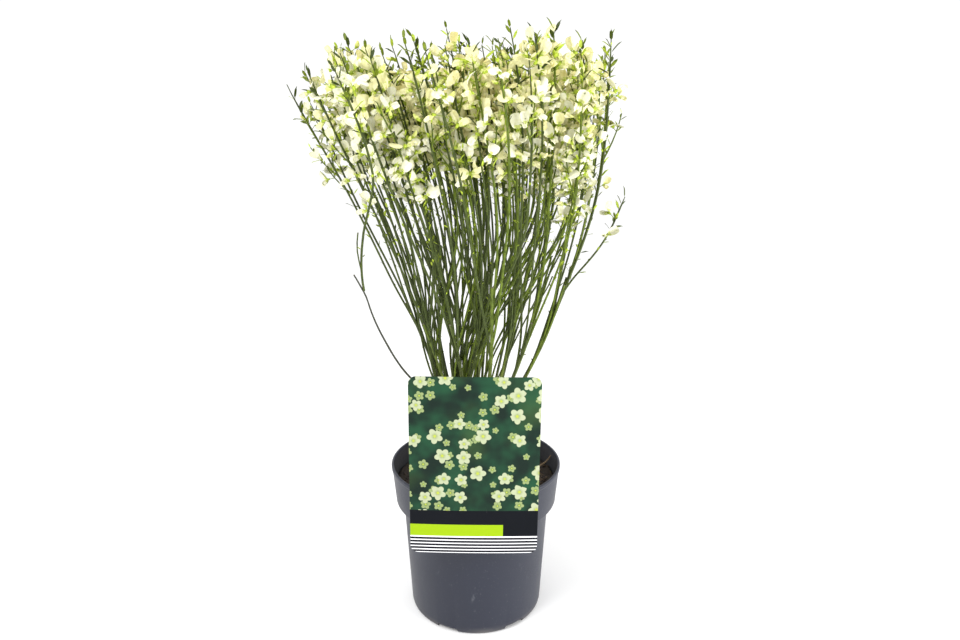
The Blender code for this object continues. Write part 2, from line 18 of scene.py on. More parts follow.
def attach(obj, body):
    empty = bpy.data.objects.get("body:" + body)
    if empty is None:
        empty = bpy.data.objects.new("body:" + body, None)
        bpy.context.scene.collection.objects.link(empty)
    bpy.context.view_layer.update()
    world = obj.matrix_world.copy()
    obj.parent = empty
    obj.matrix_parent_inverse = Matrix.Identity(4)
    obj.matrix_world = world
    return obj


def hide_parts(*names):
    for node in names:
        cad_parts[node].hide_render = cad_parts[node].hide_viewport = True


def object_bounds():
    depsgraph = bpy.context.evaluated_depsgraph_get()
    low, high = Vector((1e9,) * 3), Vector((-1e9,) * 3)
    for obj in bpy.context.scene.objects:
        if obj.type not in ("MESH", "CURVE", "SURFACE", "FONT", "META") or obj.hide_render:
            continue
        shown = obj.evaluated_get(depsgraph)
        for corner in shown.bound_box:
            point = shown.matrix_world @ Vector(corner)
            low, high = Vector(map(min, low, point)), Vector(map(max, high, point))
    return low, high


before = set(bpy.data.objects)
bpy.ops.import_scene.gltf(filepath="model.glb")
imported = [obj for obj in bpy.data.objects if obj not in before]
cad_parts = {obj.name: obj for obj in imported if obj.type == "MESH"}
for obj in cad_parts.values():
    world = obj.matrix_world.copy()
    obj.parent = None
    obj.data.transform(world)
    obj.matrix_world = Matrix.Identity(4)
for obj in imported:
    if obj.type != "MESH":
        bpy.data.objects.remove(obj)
MM = 0.001
CAD_BOX = [list(corner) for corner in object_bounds()]


def in_mm(box):
    return [[round(value / MM, 1) for value in corner] for corner in box]


print("solids:", len(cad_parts), "box in mm:", in_mm(CAD_BOX))

# %% [markdown]
# ## The camera
# The photograph's viewpoint was worked out from the ellipses of the pot's rim and foot. The camera
# stands 62 cm in front of the plant, at four fifths of its height, and looks down by 13.6
# degrees. A rather wide lens gives the pot its strong taper.

# %% Camera
CAMERA_PLACE = (4.2 * MM, -624.1 * MM, 449.7 * MM)
CAMERA_DOWN = 0.2368  # radians below the horizon
FOCAL_SHARE = 664.4 / 960  # focal length as a share of the picture's width
SENSOR_WIDTH = 36.0

bpy.ops.object.camera_add(location=CAMERA_PLACE, rotation=(math.pi / 2 - CAMERA_DOWN, 0, 0))
camera = bpy.context.object
camera.data.sensor_width = SENSOR_WIDTH
camera.data.lens = FOCAL_SHARE * SENSOR_WIDTH
bpy.context.scene.camera = camera
print("lens in mm:", round(camera.data.lens, 2))

# %% [markdown]
# ## Tools for shaping
# The same few moves come back all the time: lay everything down, start from a primitive, select
# some of its vertices by their place, and apply a modifier. Each gets a short function, so that
# the cells that follow read like the steps of a hand at work.

# %% Tools for shaping
MERGE_REACH = 0.01 * MM


def lay_down():
    """Object mode, with nothing selected."""
    if bpy.context.object and bpy.context.object.mode != "OBJECT":
        bpy.ops.object.mode_set(mode="OBJECT")
    bpy.ops.object.select_all(action="DESELECT")


def pick_up(piece):
    """One piece selected and active, in object mode."""
    lay_down()
    piece.select_set(True)
    bpy.context.view_layer.objects.active = piece
    return piece


def start(name, add, **settings):
    """A new primitive to shape, added by the operator that is given."""
    lay_down()
    add(**settings)
    bpy.context.object.name = name
    return bpy.context.object


def write_in(piece, **changes):
    """Changes the piece's place, turn or scale, and writes them into its mesh."""
    pick_up(piece)
    for key, value in changes.items():
        setattr(piece, key, value)
    bpy.ops.object.transform_apply(location=True, rotation=True, scale=True)
    return piece


def choose(piece, test=lambda place: True, faces=False):
    """Edit mode, with only those vertices or faces selected whose place passes the test."""
    pick_up(piece)
    bpy.ops.object.mode_set(mode="EDIT")
    bpy.ops.mesh.select_mode(type="FACE" if faces else "VERT")
    bpy.ops.mesh.select_all(action="DESELECT")
    bpy.ops.object.mode_set(mode="OBJECT")
    for part in piece.data.polygons if faces else piece.data.vertices:
        part.select = test(part.center if faces else part.co)
    bpy.ops.object.mode_set(mode="EDIT")


def shift(*move):
    bpy.ops.transform.translate(value=move)


def extrude(*move):
    bpy.ops.mesh.extrude_region_move(TRANSFORM_OT_translate={"value": move})


def resize(value, centre=(0, 0, 0)):
    bpy.ops.transform.resize(value=value, center_override=centre)


def turn_out(piece):
    """Merges doubled points and points the faces outwards."""
    choose(piece)
    bpy.ops.mesh.select_all(action="SELECT")
    bpy.ops.mesh.remove_doubles(threshold=MERGE_REACH)
    bpy.ops.mesh.normals_make_consistent(inside=False)
    bpy.ops.object.mode_set(mode="OBJECT")


def apply(piece, kind, **settings):
    """Adds a modifier, sets it and applies it."""
    pick_up(piece)
    modifier = piece.modifiers.new(kind.title(), kind)
    for key, value in settings.items():
        setattr(modifier, key, value)
    bpy.ops.object.modifier_apply(modifier=modifier.name)


def smooth_over(piece, angle=60):
    pick_up(piece)
    bpy.ops.object.shade_smooth_by_angle(angle=math.radians(angle))


def join(name, pieces):
    pick_up(pieces[0])
    for piece in pieces:
        piece.select_set(True)
    bpy.ops.object.join()
    pieces[0].name = name
    return pieces[0]


def on_plant(piece, finish, replaced=()):
    """Gives a finished piece its material and its body, and hides the solids it stands for."""
    if finish:
        piece.data.materials.clear()
        piece.data.materials.append(finish)
    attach(piece, "root")
    if replaced:
        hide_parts(*replaced)
    print(f"{piece.name}: {len(piece.data.polygons)} faces, stands for {len(replaced)} solids")


# %% [markdown]
# ## Tools for finishes
# A finish is a small network of shader nodes. It is easier to read as a sum than as a list of
# links, so a `Wire` wraps one output, and arithmetic on wires adds the Math nodes. A `Finish`
# holds one material and has a single method for every other kind of node.

# %% Wires


def math_of(operation, swapped=False):
    """The method behind a Python operator: it adds one Math node."""
    def method(wire, other):
        return wire.finish.math(operation, *((other, wire) if swapped else (wire, other)))
    return method


class Wire:
    """An output of a shader node that can be added, multiplied and so on."""

    def __init__(self, finish, socket):
        self.finish, self.socket = finish, socket

    __add__ = __radd__ = math_of("ADD")
    __sub__, __rsub__ = math_of("SUBTRACT"), math_of("SUBTRACT", swapped=True)
    __mul__ = __rmul__ = math_of("MULTIPLY")
    __truediv__ = math_of("DIVIDE")
    __gt__, __lt__ = math_of("GREATER_THAN"), math_of("LESS_THAN")


# %% Finishes


class Finish:
    """One material, with a method for each thing that its network is made of."""

    colour = None  # what has been laid on so far

    def __init__(self, name, roughness=0.5):
        self.material = bpy.data.materials.new(name)
        self.material.use_nodes = True
        self.tree = self.material.node_tree
        self.shader = self.tree.nodes["Principled BSDF"]
        self.set(Roughness=roughness)

    def feed(self, socket, value):
        if isinstance(value, Wire):
            self.tree.links.new(value.socket, socket)
        else:
            socket.default_value = value

    def node(self, kind, settings=None, values=None, output=0):
        """Adds a node: its settings first, then what goes into its sockets."""
        made = self.tree.nodes.new(kind)
        for key, value in (settings or {}).items():
            setattr(made, key, value)
        for key, value in (values or {}).items():
            self.feed(made.inputs[key], value)
        return Wire(self, made.outputs[output])

    def set(self, **values):
        """Sets or feeds the shader's own sockets; an underscore stands for a space."""
        for key, value in values.items():
            self.feed(self.shader.inputs[key.replace("_", " ")], value)

    def math(self, operation, *values):
        return self.node("ShaderNodeMath", {"operation": operation}, dict(enumerate(values)))

    def place(self, stretch=(1, 1, 1)):
        """The point of the surface in the plant's own frame, stretched for a grain."""
        point = self.node("ShaderNodeTexCoord", output="Object")
        return self.node("ShaderNodeMapping", values={"Vector": point, "Scale": stretch})

    def part(self, axis, vector=None):
        """One coordinate, of the surface's own point unless another vector is given."""
        values = {0: vector or self.place()}
        return self.node("ShaderNodeSeparateXYZ", values=values, output=axis)

    def noise(self, scale, detail=3.0, stretch=(1, 1, 1), rough=0.55):
        """Cloudy noise; scale is in bumps per metre."""
        values = {"Vector": self.place(stretch), "Scale": scale, "Detail": detail}
        return self.node("ShaderNodeTexNoise", values={**values, "Roughness": rough})

    def step(self, value, low, high):
        """0 below low, 1 above high, and smooth between."""
        settings = {"interpolation_type": "SMOOTHSTEP"}
        values = {"Value": value, "From Min": low, "From Max": high}
        return self.node("ShaderNodeMapRange", settings, values)

    def blend(self, share, first, second):
        """From the first colour to the second."""
        ends = [v if isinstance(v, Wire) else (*v, 1.0) for v in (first, second)]
        values = {0: share, 6: ends[0], 7: ends[1]}
        return self.node("ShaderNodeMix", {"data_type": "RGBA"}, values, output=2)

    def coat(self, share, *colours):
        """Lays a colour over the ones before it. The first coat goes from one to another."""
        self.colour = self.blend(share, *((self.colour, *colours) if self.colour else colours))

    def done(self, height, depth, **values):
        """The material, with its coats and with a bump of this depth in metres."""
        normal = self.node("ShaderNodeBump", values={"Height": height, "Distance": depth})
        self.set(Base_Color=self.colour, Normal=normal, **values)
        return self.material


def grained(name, roughness, colours, scale, detail, depth, stretch=(1, 1, 1)):
    """A simple finish: one grain that mixes two colours and also raises the surface."""
    finish = Finish(name, roughness)
    grain = finish.noise(scale, detail, stretch)
    finish.coat(grain, *colours)
    return finish.done(grain, depth)


# %% [markdown]
# ## The pot
# It is a thin injection-moulded nursery pot: a rounded foot with drain notches, a body that widens
# slowly, a step out to a tall skirt, and a bead round the rim. A pot is turned, so one ring of
# edges is extruded and resized again and again up the outside, over the rim and down inside.

# %% Turned pieces
POT_SIDES = 144


def turned(name, profile, sides=POT_SIDES, base=0.0):
    """A closed solid from (radius, height) rings in mm, each extruded from the one before it."""
    rings = [(radius * MM, base + height * MM) for radius, height in profile]
    radius, height = rings[0]
    circle = {"vertices": sides, "radius": radius, "location": (0, 0, height)}
    piece = write_in(start(name, bpy.ops.mesh.primitive_circle_add, **circle))
    choose(piece)
    for new_radius, new_height in rings[1:]:
        extrude(0, 0, new_height - height)
        share = new_radius / radius
        resize((share, share, 1), (0, 0, new_height))
        radius, height = new_radius, new_height
    bpy.ops.mesh.edge_face_add()
    first = Vector(rings[0])
    choose(piece, lambda place: (Vector((place.xy.length, place.z)) - first).length < MERGE_REACH)
    bpy.ops.mesh.edge_face_add()
    turn_out(piece)
    return piece


# %% Pot body
POT_HEIGHT = 154 * MM
STEP_Z = 117 * MM  # over this the wall belongs to the skirt
POT_OUTSIDE = (
    (65.0, 0), (66.8, 1.8), (67.4, 4.5), (70.5, 59), (73.6, 112.6),
    (79.6, 114.6), (81.0, 116), (82.6, 133), (84.2, 149.4), (85.0, 150.4),
    (85.0, 153.2), (84.5, 154),
)
POT_INSIDE = ((82.9, 154), (82.6, 153.4), (79.4, 117.6), (72.0, 114.2), (65.8, 4.5), (63.4, 1.8))

pot = turned("nursery_pot", POT_OUTSIDE + POT_INSIDE)
soften = {"width": 0.5 * MM, "segments": 3, "limit_method": "ANGLE"}
apply(pot, "BEVEL", angle_limit=math.radians(24), **soften)
turn_out(pot)  # at the rim two bevels meet, which doubles a ring of points

# %% [markdown]
# Water drains through notches that are moulded through the foot of the wall. Each is cut with a
# rounded block, as a core pin in the mould would leave it.

# %% Drain notches
NOTCHES = 6
NOTCH_TURN = math.radians(5)
NOTCH_SIZE = (11 * MM, 22 * MM, 9 * MM)
NOTCH_MIDDLE = 66.5 * MM
TURN = 2 * math.pi


def polar(radius, angle):
    """A point of the plane from its radius and angle."""
    return radius * Vector((math.cos(angle), math.sin(angle)))


for number in range(NOTCHES):
    angle = NOTCH_TURN + TURN * number / NOTCHES
    place = polar(NOTCH_MIDDLE, angle).to_3d()
    settings = {"size": 1, "location": place, "rotation": (0, 0, angle)}
    pin = start("core_pin", bpy.ops.mesh.primitive_cube_add, **settings)
    write_in(pin, scale=NOTCH_SIZE)
    apply(pin, "BEVEL", width=1.6 * MM, segments=3)
    apply(pot, "BOOLEAN", object=pin, operation="DIFFERENCE", solver="EXACT")
    bpy.data.objects.remove(pin)
smooth_over(pot, 32)

# %% [markdown]
# The plastic is a dark slate grey. Handling has rubbed pale scuffs into it, dust lies round the
# foot, and inside it is a duller grey. Its streaks run upwards, so that noise is stretched.

# %% Pot finish
SKIRT_SLOPE = 3.2 / 33.4
WALL_MIDDLE = 69.1 * MM  # radius of the skirt's mid-wall, carried down to height 0
DUST_Z = 9 * MM


def pot_finish():
    finish = Finish("slate_plastic")
    height = finish.part("Z")
    cloud = finish.noise(14, 4)
    streak = finish.noise(60, 5, (1, 1, 0.12))
    scuff = finish.step(finish.noise(95, 9, (1, 1, 0.35), 0.7), 0.61, 0.72)
    speck = finish.step(finish.noise(900, 2), 0.68, 0.75)
    finish.coat(cloud, (0.0112, 0.0137, 0.0270), (0.0172, 0.0206, 0.0365))
    finish.coat(streak * 0.5, (0.012, 0.014, 0.025))
    dust = finish.step(height, DUST_Z, 0.0) * finish.step(cloud, 0.35, 0.65) * 0.6
    finish.coat(dust, (0.16, 0.15, 0.14))
    flat = finish.place((1, 1, 0))
    length = {"operation": "LENGTH"}
    radius = finish.node("ShaderNodeVectorMath", length, {0: flat}, output="Value")
    inside = (radius - SKIRT_SLOPE * height < WALL_MIDDLE) * (height > STEP_Z)
    inside = inside * finish.step(height, POT_HEIGHT - 0.5 * MM, POT_HEIGHT - 4 * MM)
    finish.coat(inside * 0.8, finish.blend(cloud, (0.029, 0.030, 0.033), (0.056, 0.056, 0.059)))
    finish.coat(scuff * 0.35, (0.17, 0.18, 0.20))
    finish.coat(speck * 0.3, (0.24, 0.24, 0.24))
    gloss = 0.36 + 0.14 * cloud + 0.2 * scuff
    bump = finish.noise(2600, 2) + 2 * streak
    return finish.done(bump, 0.05 * MM, Roughness=gloss, Specular_IOR_Level=0.41)


on_plant(pot, pot_finish(), ["pot"])

# %% [markdown]
# ## The soil
# Potting soil is peat with bits of bark. The plug is turned like the pot, with many rings on top,
# and two layers of noise heave its surface: broad clods first, and crumbs after that.

# %% Soil plug
SOIL_LEVEL = 136 * MM
SOIL_FOOT = ((63.2, 2.2), (65.2, 4.7), (71.5, 114.8), (79.0, 118.2), (80.4, 133.2))
SOIL_EDGE = (78.6, 134.6)  # the outermost ring on top
SOIL_STEP = 2.2
SOIL_RINGS = 34

top_rings = [(SOIL_EDGE[0] - SOIL_STEP * step, SOIL_EDGE[1]) for step in range(SOIL_RINGS)]
soil = turned("potting_soil", SOIL_FOOT + tuple(top_rings))
top = soil.vertex_groups.new(name="top")
on_top = [v.index for v in soil.data.vertices if v.co.z > (SOIL_EDGE[1] - 0.5) * MM]
top.add(on_top, 1.0, "REPLACE")


def heave(piece, kind, size, strength, direction="Z", group="", depth=2):
    """Pushes a surface about by a cloud texture whose bumps have this size."""
    texture = bpy.data.textures.new(piece.name + "_relief", kind)
    texture.noise_scale = size
    if kind == "CLOUDS":
        texture.noise_depth = depth
    settings = {"texture": texture, "strength": strength, "direction": direction}
    apply(piece, "DISPLACE", mid_level=0.5, vertex_group=group, **settings)


heave(soil, "CLOUDS", 16 * MM, 5.0 * MM, group="top")
heave(soil, "CLOUDS", 3.5 * MM, 2.2 * MM, group="top", depth=4)
smooth_over(soil)


def soil_finish():
    finish = Finish("moist_peat", 0.9)
    clod = finish.noise(60, 6, rough=0.7)
    crumb = finish.noise(700, 5, rough=0.7)
    finish.coat(clod, (0.012, 0.008, 0.006), (0.034, 0.022, 0.014))
    finish.coat(finish.step(crumb, 0.55, 0.72) * 0.6, (0.085, 0.055, 0.032))
    return finish.done(crumb + clod, 0.6 * MM, Roughness=0.78 + 0.2 * crumb)


on_plant(soil, soil_finish(), ["soil"])

# %% [markdown]
# ## Many small things
# Bark chips, leaves and flowers come by the hundred. Each kind is modelled once. Its copies are
# then written into one joined mesh from arrays: every copy is the model's points times one matrix.

# %% Strewing copies


def link_new(name, data):
    """A new object of a mesh or a curve, in the scene."""
    made = bpy.data.objects.new(name, data)
    bpy.context.scene.collection.objects.link(made)
    return made


def read_rows(rows, field, width, kind):
    values = np.empty(len(rows) * width, kind)
    rows.foreach_get(field, values)
    return values


def strew(name, model, matrices):
    """One joined piece with the model at every matrix."""
    points = read_rows(model.data.vertices, "co", 3, float).reshape(-1, 3)
    corners = read_rows(model.data.loops, "vertex_index", 1, np.int32)
    starts = read_rows(model.data.polygons, "loop_start", 1, np.int32)
    turns = np.array([[list(row) for row in matrix] for matrix in matrices])
    placed = np.einsum("nij,vj->nvi", turns[:, :3, :3], points) + turns[:, None, :3, 3]
    number = np.arange(len(matrices), dtype=np.int32)[:, None]
    mesh = bpy.data.meshes.new(name)
    for rows, field, each, values in (
        (mesh.vertices, "co", len(points), placed),
        (mesh.loops, "vertex_index", len(corners), corners + len(points) * number),
        (mesh.polygons, "loop_start", len(starts), starts + len(corners) * number),
    ):
        rows.add(each * len(matrices))
        rows.foreach_set(field, values.ravel())
    mesh.update(calc_edges=True)
    mesh.shade_smooth()
    return link_new(name, mesh)


# %% [markdown]
# Bark chips lie all over the soil, dark and pale ones, most of them small. A chip is a block whose
# corners are knocked about. A ray shot down from above finds the ground for each one.

# %% Bark chips
CHIP_KINDS = 3
CHIPS = 620
CHIP_REACH = 78 * MM
CHIP_SIZE = (6 * MM, 3.2 * MM, 1.4 * MM)
TRUNK_CLEAR = 17 * MM
CHIP_COLOURS = ((0.030, 0.019, 0.013), (0.055, 0.034, 0.020), (0.11, 0.072, 0.042))


def soil_under(place):
    """(hit, point) of the soil's surface straight under a place of the plane."""
    above = Vector((place.x, place.y, POT_HEIGHT))
    return soil.ray_cast(above, Vector((0, 0, -1)))[:2]


def model_chip(seed):
    """A splinter of bark: a block cut finer, its corners knocked about."""
    chip = start(f"chip_model_{seed}", bpy.ops.mesh.primitive_cube_add, size=1)
    write_in(chip, scale=CHIP_SIZE)
    choose(chip)
    bpy.ops.mesh.subdivide(number_cuts=1)
    bpy.ops.transform.vertex_random(offset=0.8 * MM, seed=seed)
    turn_out(chip)
    return chip


def chip_places():
    draw = random.Random(51)
    matrices = [[] for _ in range(CHIP_KINDS)]
    for _ in range(CHIPS):
        radius = CHIP_REACH * math.sqrt(draw.random())
        hit, place = soil_under(polar(radius, draw.uniform(0, TURN)))
        if not hit or radius < TRUNK_CLEAR:
            continue
        turn = Matrix.Rotation(draw.gauss(0, 0.35), 4, "X") @ Matrix.Rotation(draw.gauss(0, 0.3), 4, "Y")
        turn = Matrix.Rotation(draw.uniform(0, TURN), 4, "Z") @ turn
        size = Matrix.Scale(draw.uniform(0.25, 1.0) ** 1.4, 4)
        matrices[draw.randrange(CHIP_KINDS)].append(Matrix.Translation(place) @ turn @ size)
    return matrices


for number, places in enumerate(chip_places()):
    model = model_chip(number)
    chips = strew(f"bark_chips_{number}", model, places)
    bpy.data.objects.remove(model)
    pale = CHIP_COLOURS[number]
    colours = (tuple(0.45 * value for value in pale), pale)
    finish = grained(f"bark_chip_{number}", 0.85, colours, 450, 5, 0.3 * MM, (1, 1, 3))
    on_plant(chips, finish)

# %% [markdown]
# ## Tubes
# Roots, boughs and whips are all long tapering tubes. Each kind is one curve object with a spline
# for every tube. It is swept with a small profile and then made a mesh. A broom's green stem is
# ridged, so its profile is a five-pointed star with shallow points.

# %% Sweeping tubes


def sweep(name, lines, sides=8, ridge=0.0):
    """A joined mesh of closed tubes. Each line is (points, radii); ridge is a share of the radius."""
    outline = bpy.data.curves.new(name + "_outline", "CURVE")
    outline.dimensions = "2D"
    ring = outline.splines.new("POLY")
    ring.points.add(sides - 1)
    for index, point in enumerate(ring.points):
        out = 1 - (ridge if index % 2 else 0.0)
        point.co = (*polar(out, TURN * index / sides), 0, 1)
    ring.use_cyclic_u = True
    profile = link_new(name + "_outline", outline)
    data = bpy.data.curves.new(name, "CURVE")
    data.dimensions = "3D"
    data.bevel_mode = "OBJECT"
    data.bevel_object = profile
    data.use_fill_caps = True
    for points, radii in lines:
        spline = data.splines.new("POLY")
        spline.points.add(len(points) - 1)
        for knot, point, radius in zip(spline.points, points, radii):
            knot.co = (*point, 1)
            knot.radius = radius
    pick_up(link_new(name, data))
    bpy.ops.object.convert(target="MESH")
    piece = bpy.context.object
    bpy.data.objects.remove(profile)
    turn_out(piece)
    return piece


# %% [markdown]
# Fine pale roots creep over the soil. Each takes short steps, turns a little at every step and
# keeps to the ground. One of them is thicker and leans on the pot's wall.

# %% Rootlets
ROOTLETS = 30
ROOT_STEP = 3.2 * MM
# One root leans on the wall at the right; its points are in mm.
LEANING_ROOT = ((62, 16, 136.5), (68, 18, 138), (73, 19, 141), (77, 21, 145), (79.5, 24, 147.5))
LEANING_RADII = (1.2, 1.1, 0.9, 0.7, 0.4)


def wander(draw, place, heading, steps):
    """A line that creeps over the soil with a slow change of heading."""
    points, bend = [], draw.uniform(-0.25, 0.25)
    for _ in range(steps):
        hit, ground = soil_under(place)
        if not hit or place.length > CHIP_REACH:
            break
        points.append(ground + Vector((0, 0, draw.uniform(0.1, 1.5) * MM)))
        heading += bend + draw.gauss(0, 0.22)
        place = place + polar(ROOT_STEP, heading)
    return points


def root_lines():
    draw = random.Random(77)
    lines = []
    for _ in range(ROOTLETS):
        angle = draw.uniform(0, TURN)
        place = polar(draw.uniform(24, 74) * MM, angle)
        points = wander(draw, place, draw.uniform(0, TURN), draw.randint(5, 13))
        thick = draw.uniform(0.2, 0.55) * MM
        if len(points) > 3:
            radii = [thick * (1 - 0.6 * step / len(points)) for step in range(len(points))]
            lines.append((points, radii))
    leaning = [Vector(point) * MM for point in LEANING_ROOT]
    return lines + [(leaning, [radius * MM for radius in LEANING_RADII])]


roots = sweep("rootlets", root_lines(), 6)
smooth_over(roots)
root_colours = ((0.10, 0.062, 0.034), (0.26, 0.18, 0.10))
on_plant(roots, grained("pale_rootlet", 0.7, root_colours, 300, 4, 0.2 * MM))

# %% [markdown]
# ## The picture card
# A flexible plastic card stands in front, hooked over the rim. Its corners are rounded and its
# sides bow back. It starts as a plane stood upright. The corners are bevelled, cuts at even
# steps let it bend, and a vertex group says how far each point bows.

# %% Card sheet
CARD_WIDTH = 115 * MM
CARD_FOOT_Z = 101.7 * MM
CARD_TOP_Z = 269.7 * MM
CARD_MIDDLE = Vector((-0.8 * MM, -86.05 * MM, 0.5 * (CARD_FOOT_Z + CARD_TOP_Z)))
CARD_LEAN = math.radians(0.55)  # its top leans to the right
CARD_THICK = 0.7 * MM
CARD_CORNER = 7 * MM
CARD_BOW = (1.5 * MM, 1.2 * MM)  # at its foot and at its top
CARD_CUTS = 28

upright = {"size": 1, "rotation": (math.pi / 2, 0, 0)}
card = start("plant_card", bpy.ops.mesh.primitive_plane_add, **upright)
write_in(card, scale=(CARD_WIDTH, CARD_TOP_Z - CARD_FOOT_Z, 1))
choose(card)
bpy.ops.mesh.bevel(offset=CARD_CORNER, segments=8, affect="VERTICES")
for cut in range(1, CARD_CUTS):
    bpy.ops.mesh.select_all(action="SELECT")
    x = CARD_WIDTH * (cut / CARD_CUTS - 0.5)
    bpy.ops.mesh.bisect(plane_co=(x, 0, 0), plane_no=(1, 0, 0))
apply(card, "SOLIDIFY", thickness=CARD_THICK, offset=-1.0)


def between(span, share):
    return span[0] + (span[1] - span[0]) * share


bowing = card.vertex_groups.new(name="bow")
for vertex in card.data.vertices:
    bow = between(CARD_BOW, 0.5 + vertex.co.z / (CARD_TOP_Z - CARD_FOOT_Z))
    bow *= (vertex.co.x / (0.5 * CARD_WIDTH)) ** 2
    bowing.add([vertex.index], bow / CARD_BOW[0], "REPLACE")
bend = {"direction": "Y", "mid_level": 0.0, "strength": CARD_BOW[0]}
apply(card, "DISPLACE", vertex_group="bow", **bend)
card.vertex_groups.clear()
write_in(card, location=CARD_MIDDLE, rotation_euler=(0, CARD_LEAN, 0))

# %% [markdown]
# The hook is a strip on the card's back that goes over the rim and down inside. One point is
# extruded along that path, the line is extruded sideways, and Solidify gives it thickness.

# %% Card hook
HOOK_WIDTH = 22 * MM
HOOK_LINE = ((-85.5, 158), (-85.5, 154.8), (-79.9, 154.8), (-79.9, 136.6))  # y and z in mm
HOOK_THICK = 0.8 * MM

hook = start("card_hook", bpy.ops.mesh.primitive_plane_add, size=1)
choose(hook)
bpy.ops.mesh.merge(type="CENTER")
shift(-0.5 * HOOK_WIDTH, HOOK_LINE[0][0] * MM, HOOK_LINE[0][1] * MM)
for (y, z), (new_y, new_z) in zip(HOOK_LINE, HOOK_LINE[1:]):
    extrude(0, (new_y - y) * MM, (new_z - z) * MM)
bpy.ops.mesh.select_all(action="SELECT")
extrude(HOOK_WIDTH, 0, 0)
turn_out(hook)
apply(hook, "SOLIDIFY", thickness=HOOK_THICK, offset=0.0, use_even_offset=True)
print("hook faces:", len(hook.data.polygons))

# %% [markdown]
# The print keeps the card's plain layout: a dark green panel, a navy band, a lime band and thin
# stripes. In place of a picture the panel has a generic pattern: five-petalled rosettes strewn by
# a Voronoi texture, which gives each one a middle, a turn and a size. The card's edges carry the
# print too, and only its back is plain.

# %% Rosettes
ROSETTE_SHARE = 0.72  # share of the cells that have a rosette
# Small dim ones lie under large pale ones: spacing, petal length, offset, and two colours.
ROSETTES = (
    (13 * MM, 0.33, 0.0, (0.10, 0.16, 0.05), (0.25, 0.31, 0.13)),
    (18 * MM, 0.37, 0.37, (0.25, 0.30, 0.13), (0.40, 0.44, 0.28)),
)
ROSETTE_EYE = (0.40, 0.46, 0.06)
ROUND = 6.28  # nearly a full turn, used for every turn that is left to chance


def rosettes(finish, spacing, petal, offset):
    """(mask, share, lobe): 1 in a rosette, how far out from its middle, and 1 along a petal."""
    point = finish.place()
    flat = {0: finish.part("X", point), 1: finish.part("Z", point) + offset}
    plane = finish.node("ShaderNodeCombineXYZ", values=flat)
    settings = {"voronoi_dimensions": "2D", "feature": "F1"}
    values = {"Vector": plane, "Scale": 1 / spacing, "Randomness": 0.6}
    middle = finish.node("ShaderNodeTexVoronoi", settings, values, output="Position")
    chance = {0: finish.node("ShaderNodeTexVoronoi", settings, values, output="Color")}
    turn, size, rank = [
        finish.node("ShaderNodeSeparateColor", values=chance, output=index) for index in range(3)
    ]
    ends = {0: plane, 1: middle}
    apart = finish.node("ShaderNodeVectorMath", {"operation": "SUBTRACT"}, ends)
    x, y = finish.part("X", apart) / spacing, finish.part("Y", apart) / spacing
    angle = finish.math("ARCTAN2", y, x) + turn * ROUND
    lobe = finish.math("ABSOLUTE", finish.math("COSINE", angle * 2.5))
    edge = petal * (0.62 + 0.38 * lobe) * (0.7 + 0.45 * size)
    share = finish.math("SQRT", x * x + y * y) / edge
    return finish.step(share, 1.03, 0.95) * (rank < ROSETTE_SHARE), share, lobe


# %% Card print
BAND_TOP_Z = 144.0 * MM
LIME_TOP_Z = 130.1 * MM
LIME_FOOT_Z = 118.6 * MM
LIME_END_X = 26.3 * MM
STRIPE_TOP_Z = 117.2 * MM
STRIPE_FOOT_Z = 102.4 * MM
STRIPE_PITCH = 3.2 * MM
STRIPE_DARK = 0.66  # dark share of the pitch


def coat_panel(finish, blur):
    """Dark green out of focus, with the rosettes on it."""
    finish.coat(finish.step(blur, 0.35, 0.7), (0.008, 0.018, 0.013), (0.015, 0.065, 0.031))
    finish.coat(finish.step(finish.noise(21, 1), 0.5, 0.75) * 0.6, (0.045, 0.085, 0.026))
    for *layout, dark, pale in ROSETTES:
        mask, share, lobe = rosettes(finish, *layout)
        tint = finish.blend(finish.step(share + 0.25 * lobe, 0.25, 0.8), dark, pale)
        finish.coat(mask, finish.blend(finish.step(share, 0.24, 0.16), tint, ROSETTE_EYE))


def card_finish():
    finish = Finish("card_print", 0.3)
    x, z = finish.part("X") - CARD_MIDDLE.x, finish.part("Z") - CARD_MIDDLE.z
    x, z = x - CARD_LEAN * z, z + CARD_LEAN * x + CARD_MIDDLE.z
    blur = finish.noise(38, 2)
    coat_panel(finish, blur)
    finish.coat(z < BAND_TOP_Z, finish.blend(blur, (0.002, 0.003, 0.005), (0.004, 0.005, 0.008)))
    lime = (z < LIME_TOP_Z) * (z > LIME_FOOT_Z) * (x < LIME_END_X)
    finish.coat(lime, (0.285, 0.440, 0.006))
    row = finish.math("FRACT", (STRIPE_TOP_Z + 3 * STRIPE_PITCH - z) / STRIPE_PITCH)
    dark = (row < STRIPE_DARK) * (z < STRIPE_TOP_Z) * (z > STRIPE_FOOT_Z)
    finish.coat(z < LIME_FOOT_Z, finish.blend(dark, (0.86, 0.86, 0.88), (0.012, 0.012, 0.017)))
    rub = finish.step(finish.noise(160, 6, (1, 1, 0.5), 0.7), 0.66, 0.76) * 0.10
    finish.coat(rub, (0.6, 0.6, 0.6))
    gloss = 0.26 + 0.16 * finish.noise(120, 4)
    wave = finish.noise(45, 2)
    return finish.done(wave, 0.12 * MM, Roughness=gloss, Specular_IOR_Level=0.10)


back = grained("card_back", 0.42, ((0.60, 0.61, 0.58), (0.74, 0.75, 0.72)), 70, 5, 0.1 * MM)
card.data.materials.append(card_finish())
card.data.materials.append(back)
for face in card.data.polygons:
    face.material_index = 1 if face.normal.y > 0.5 else 0
hook.data.materials.append(back)
card = join("plant_card", [card, hook])
smooth_over(card, 30)
on_plant(card, None, ["picture_card"])

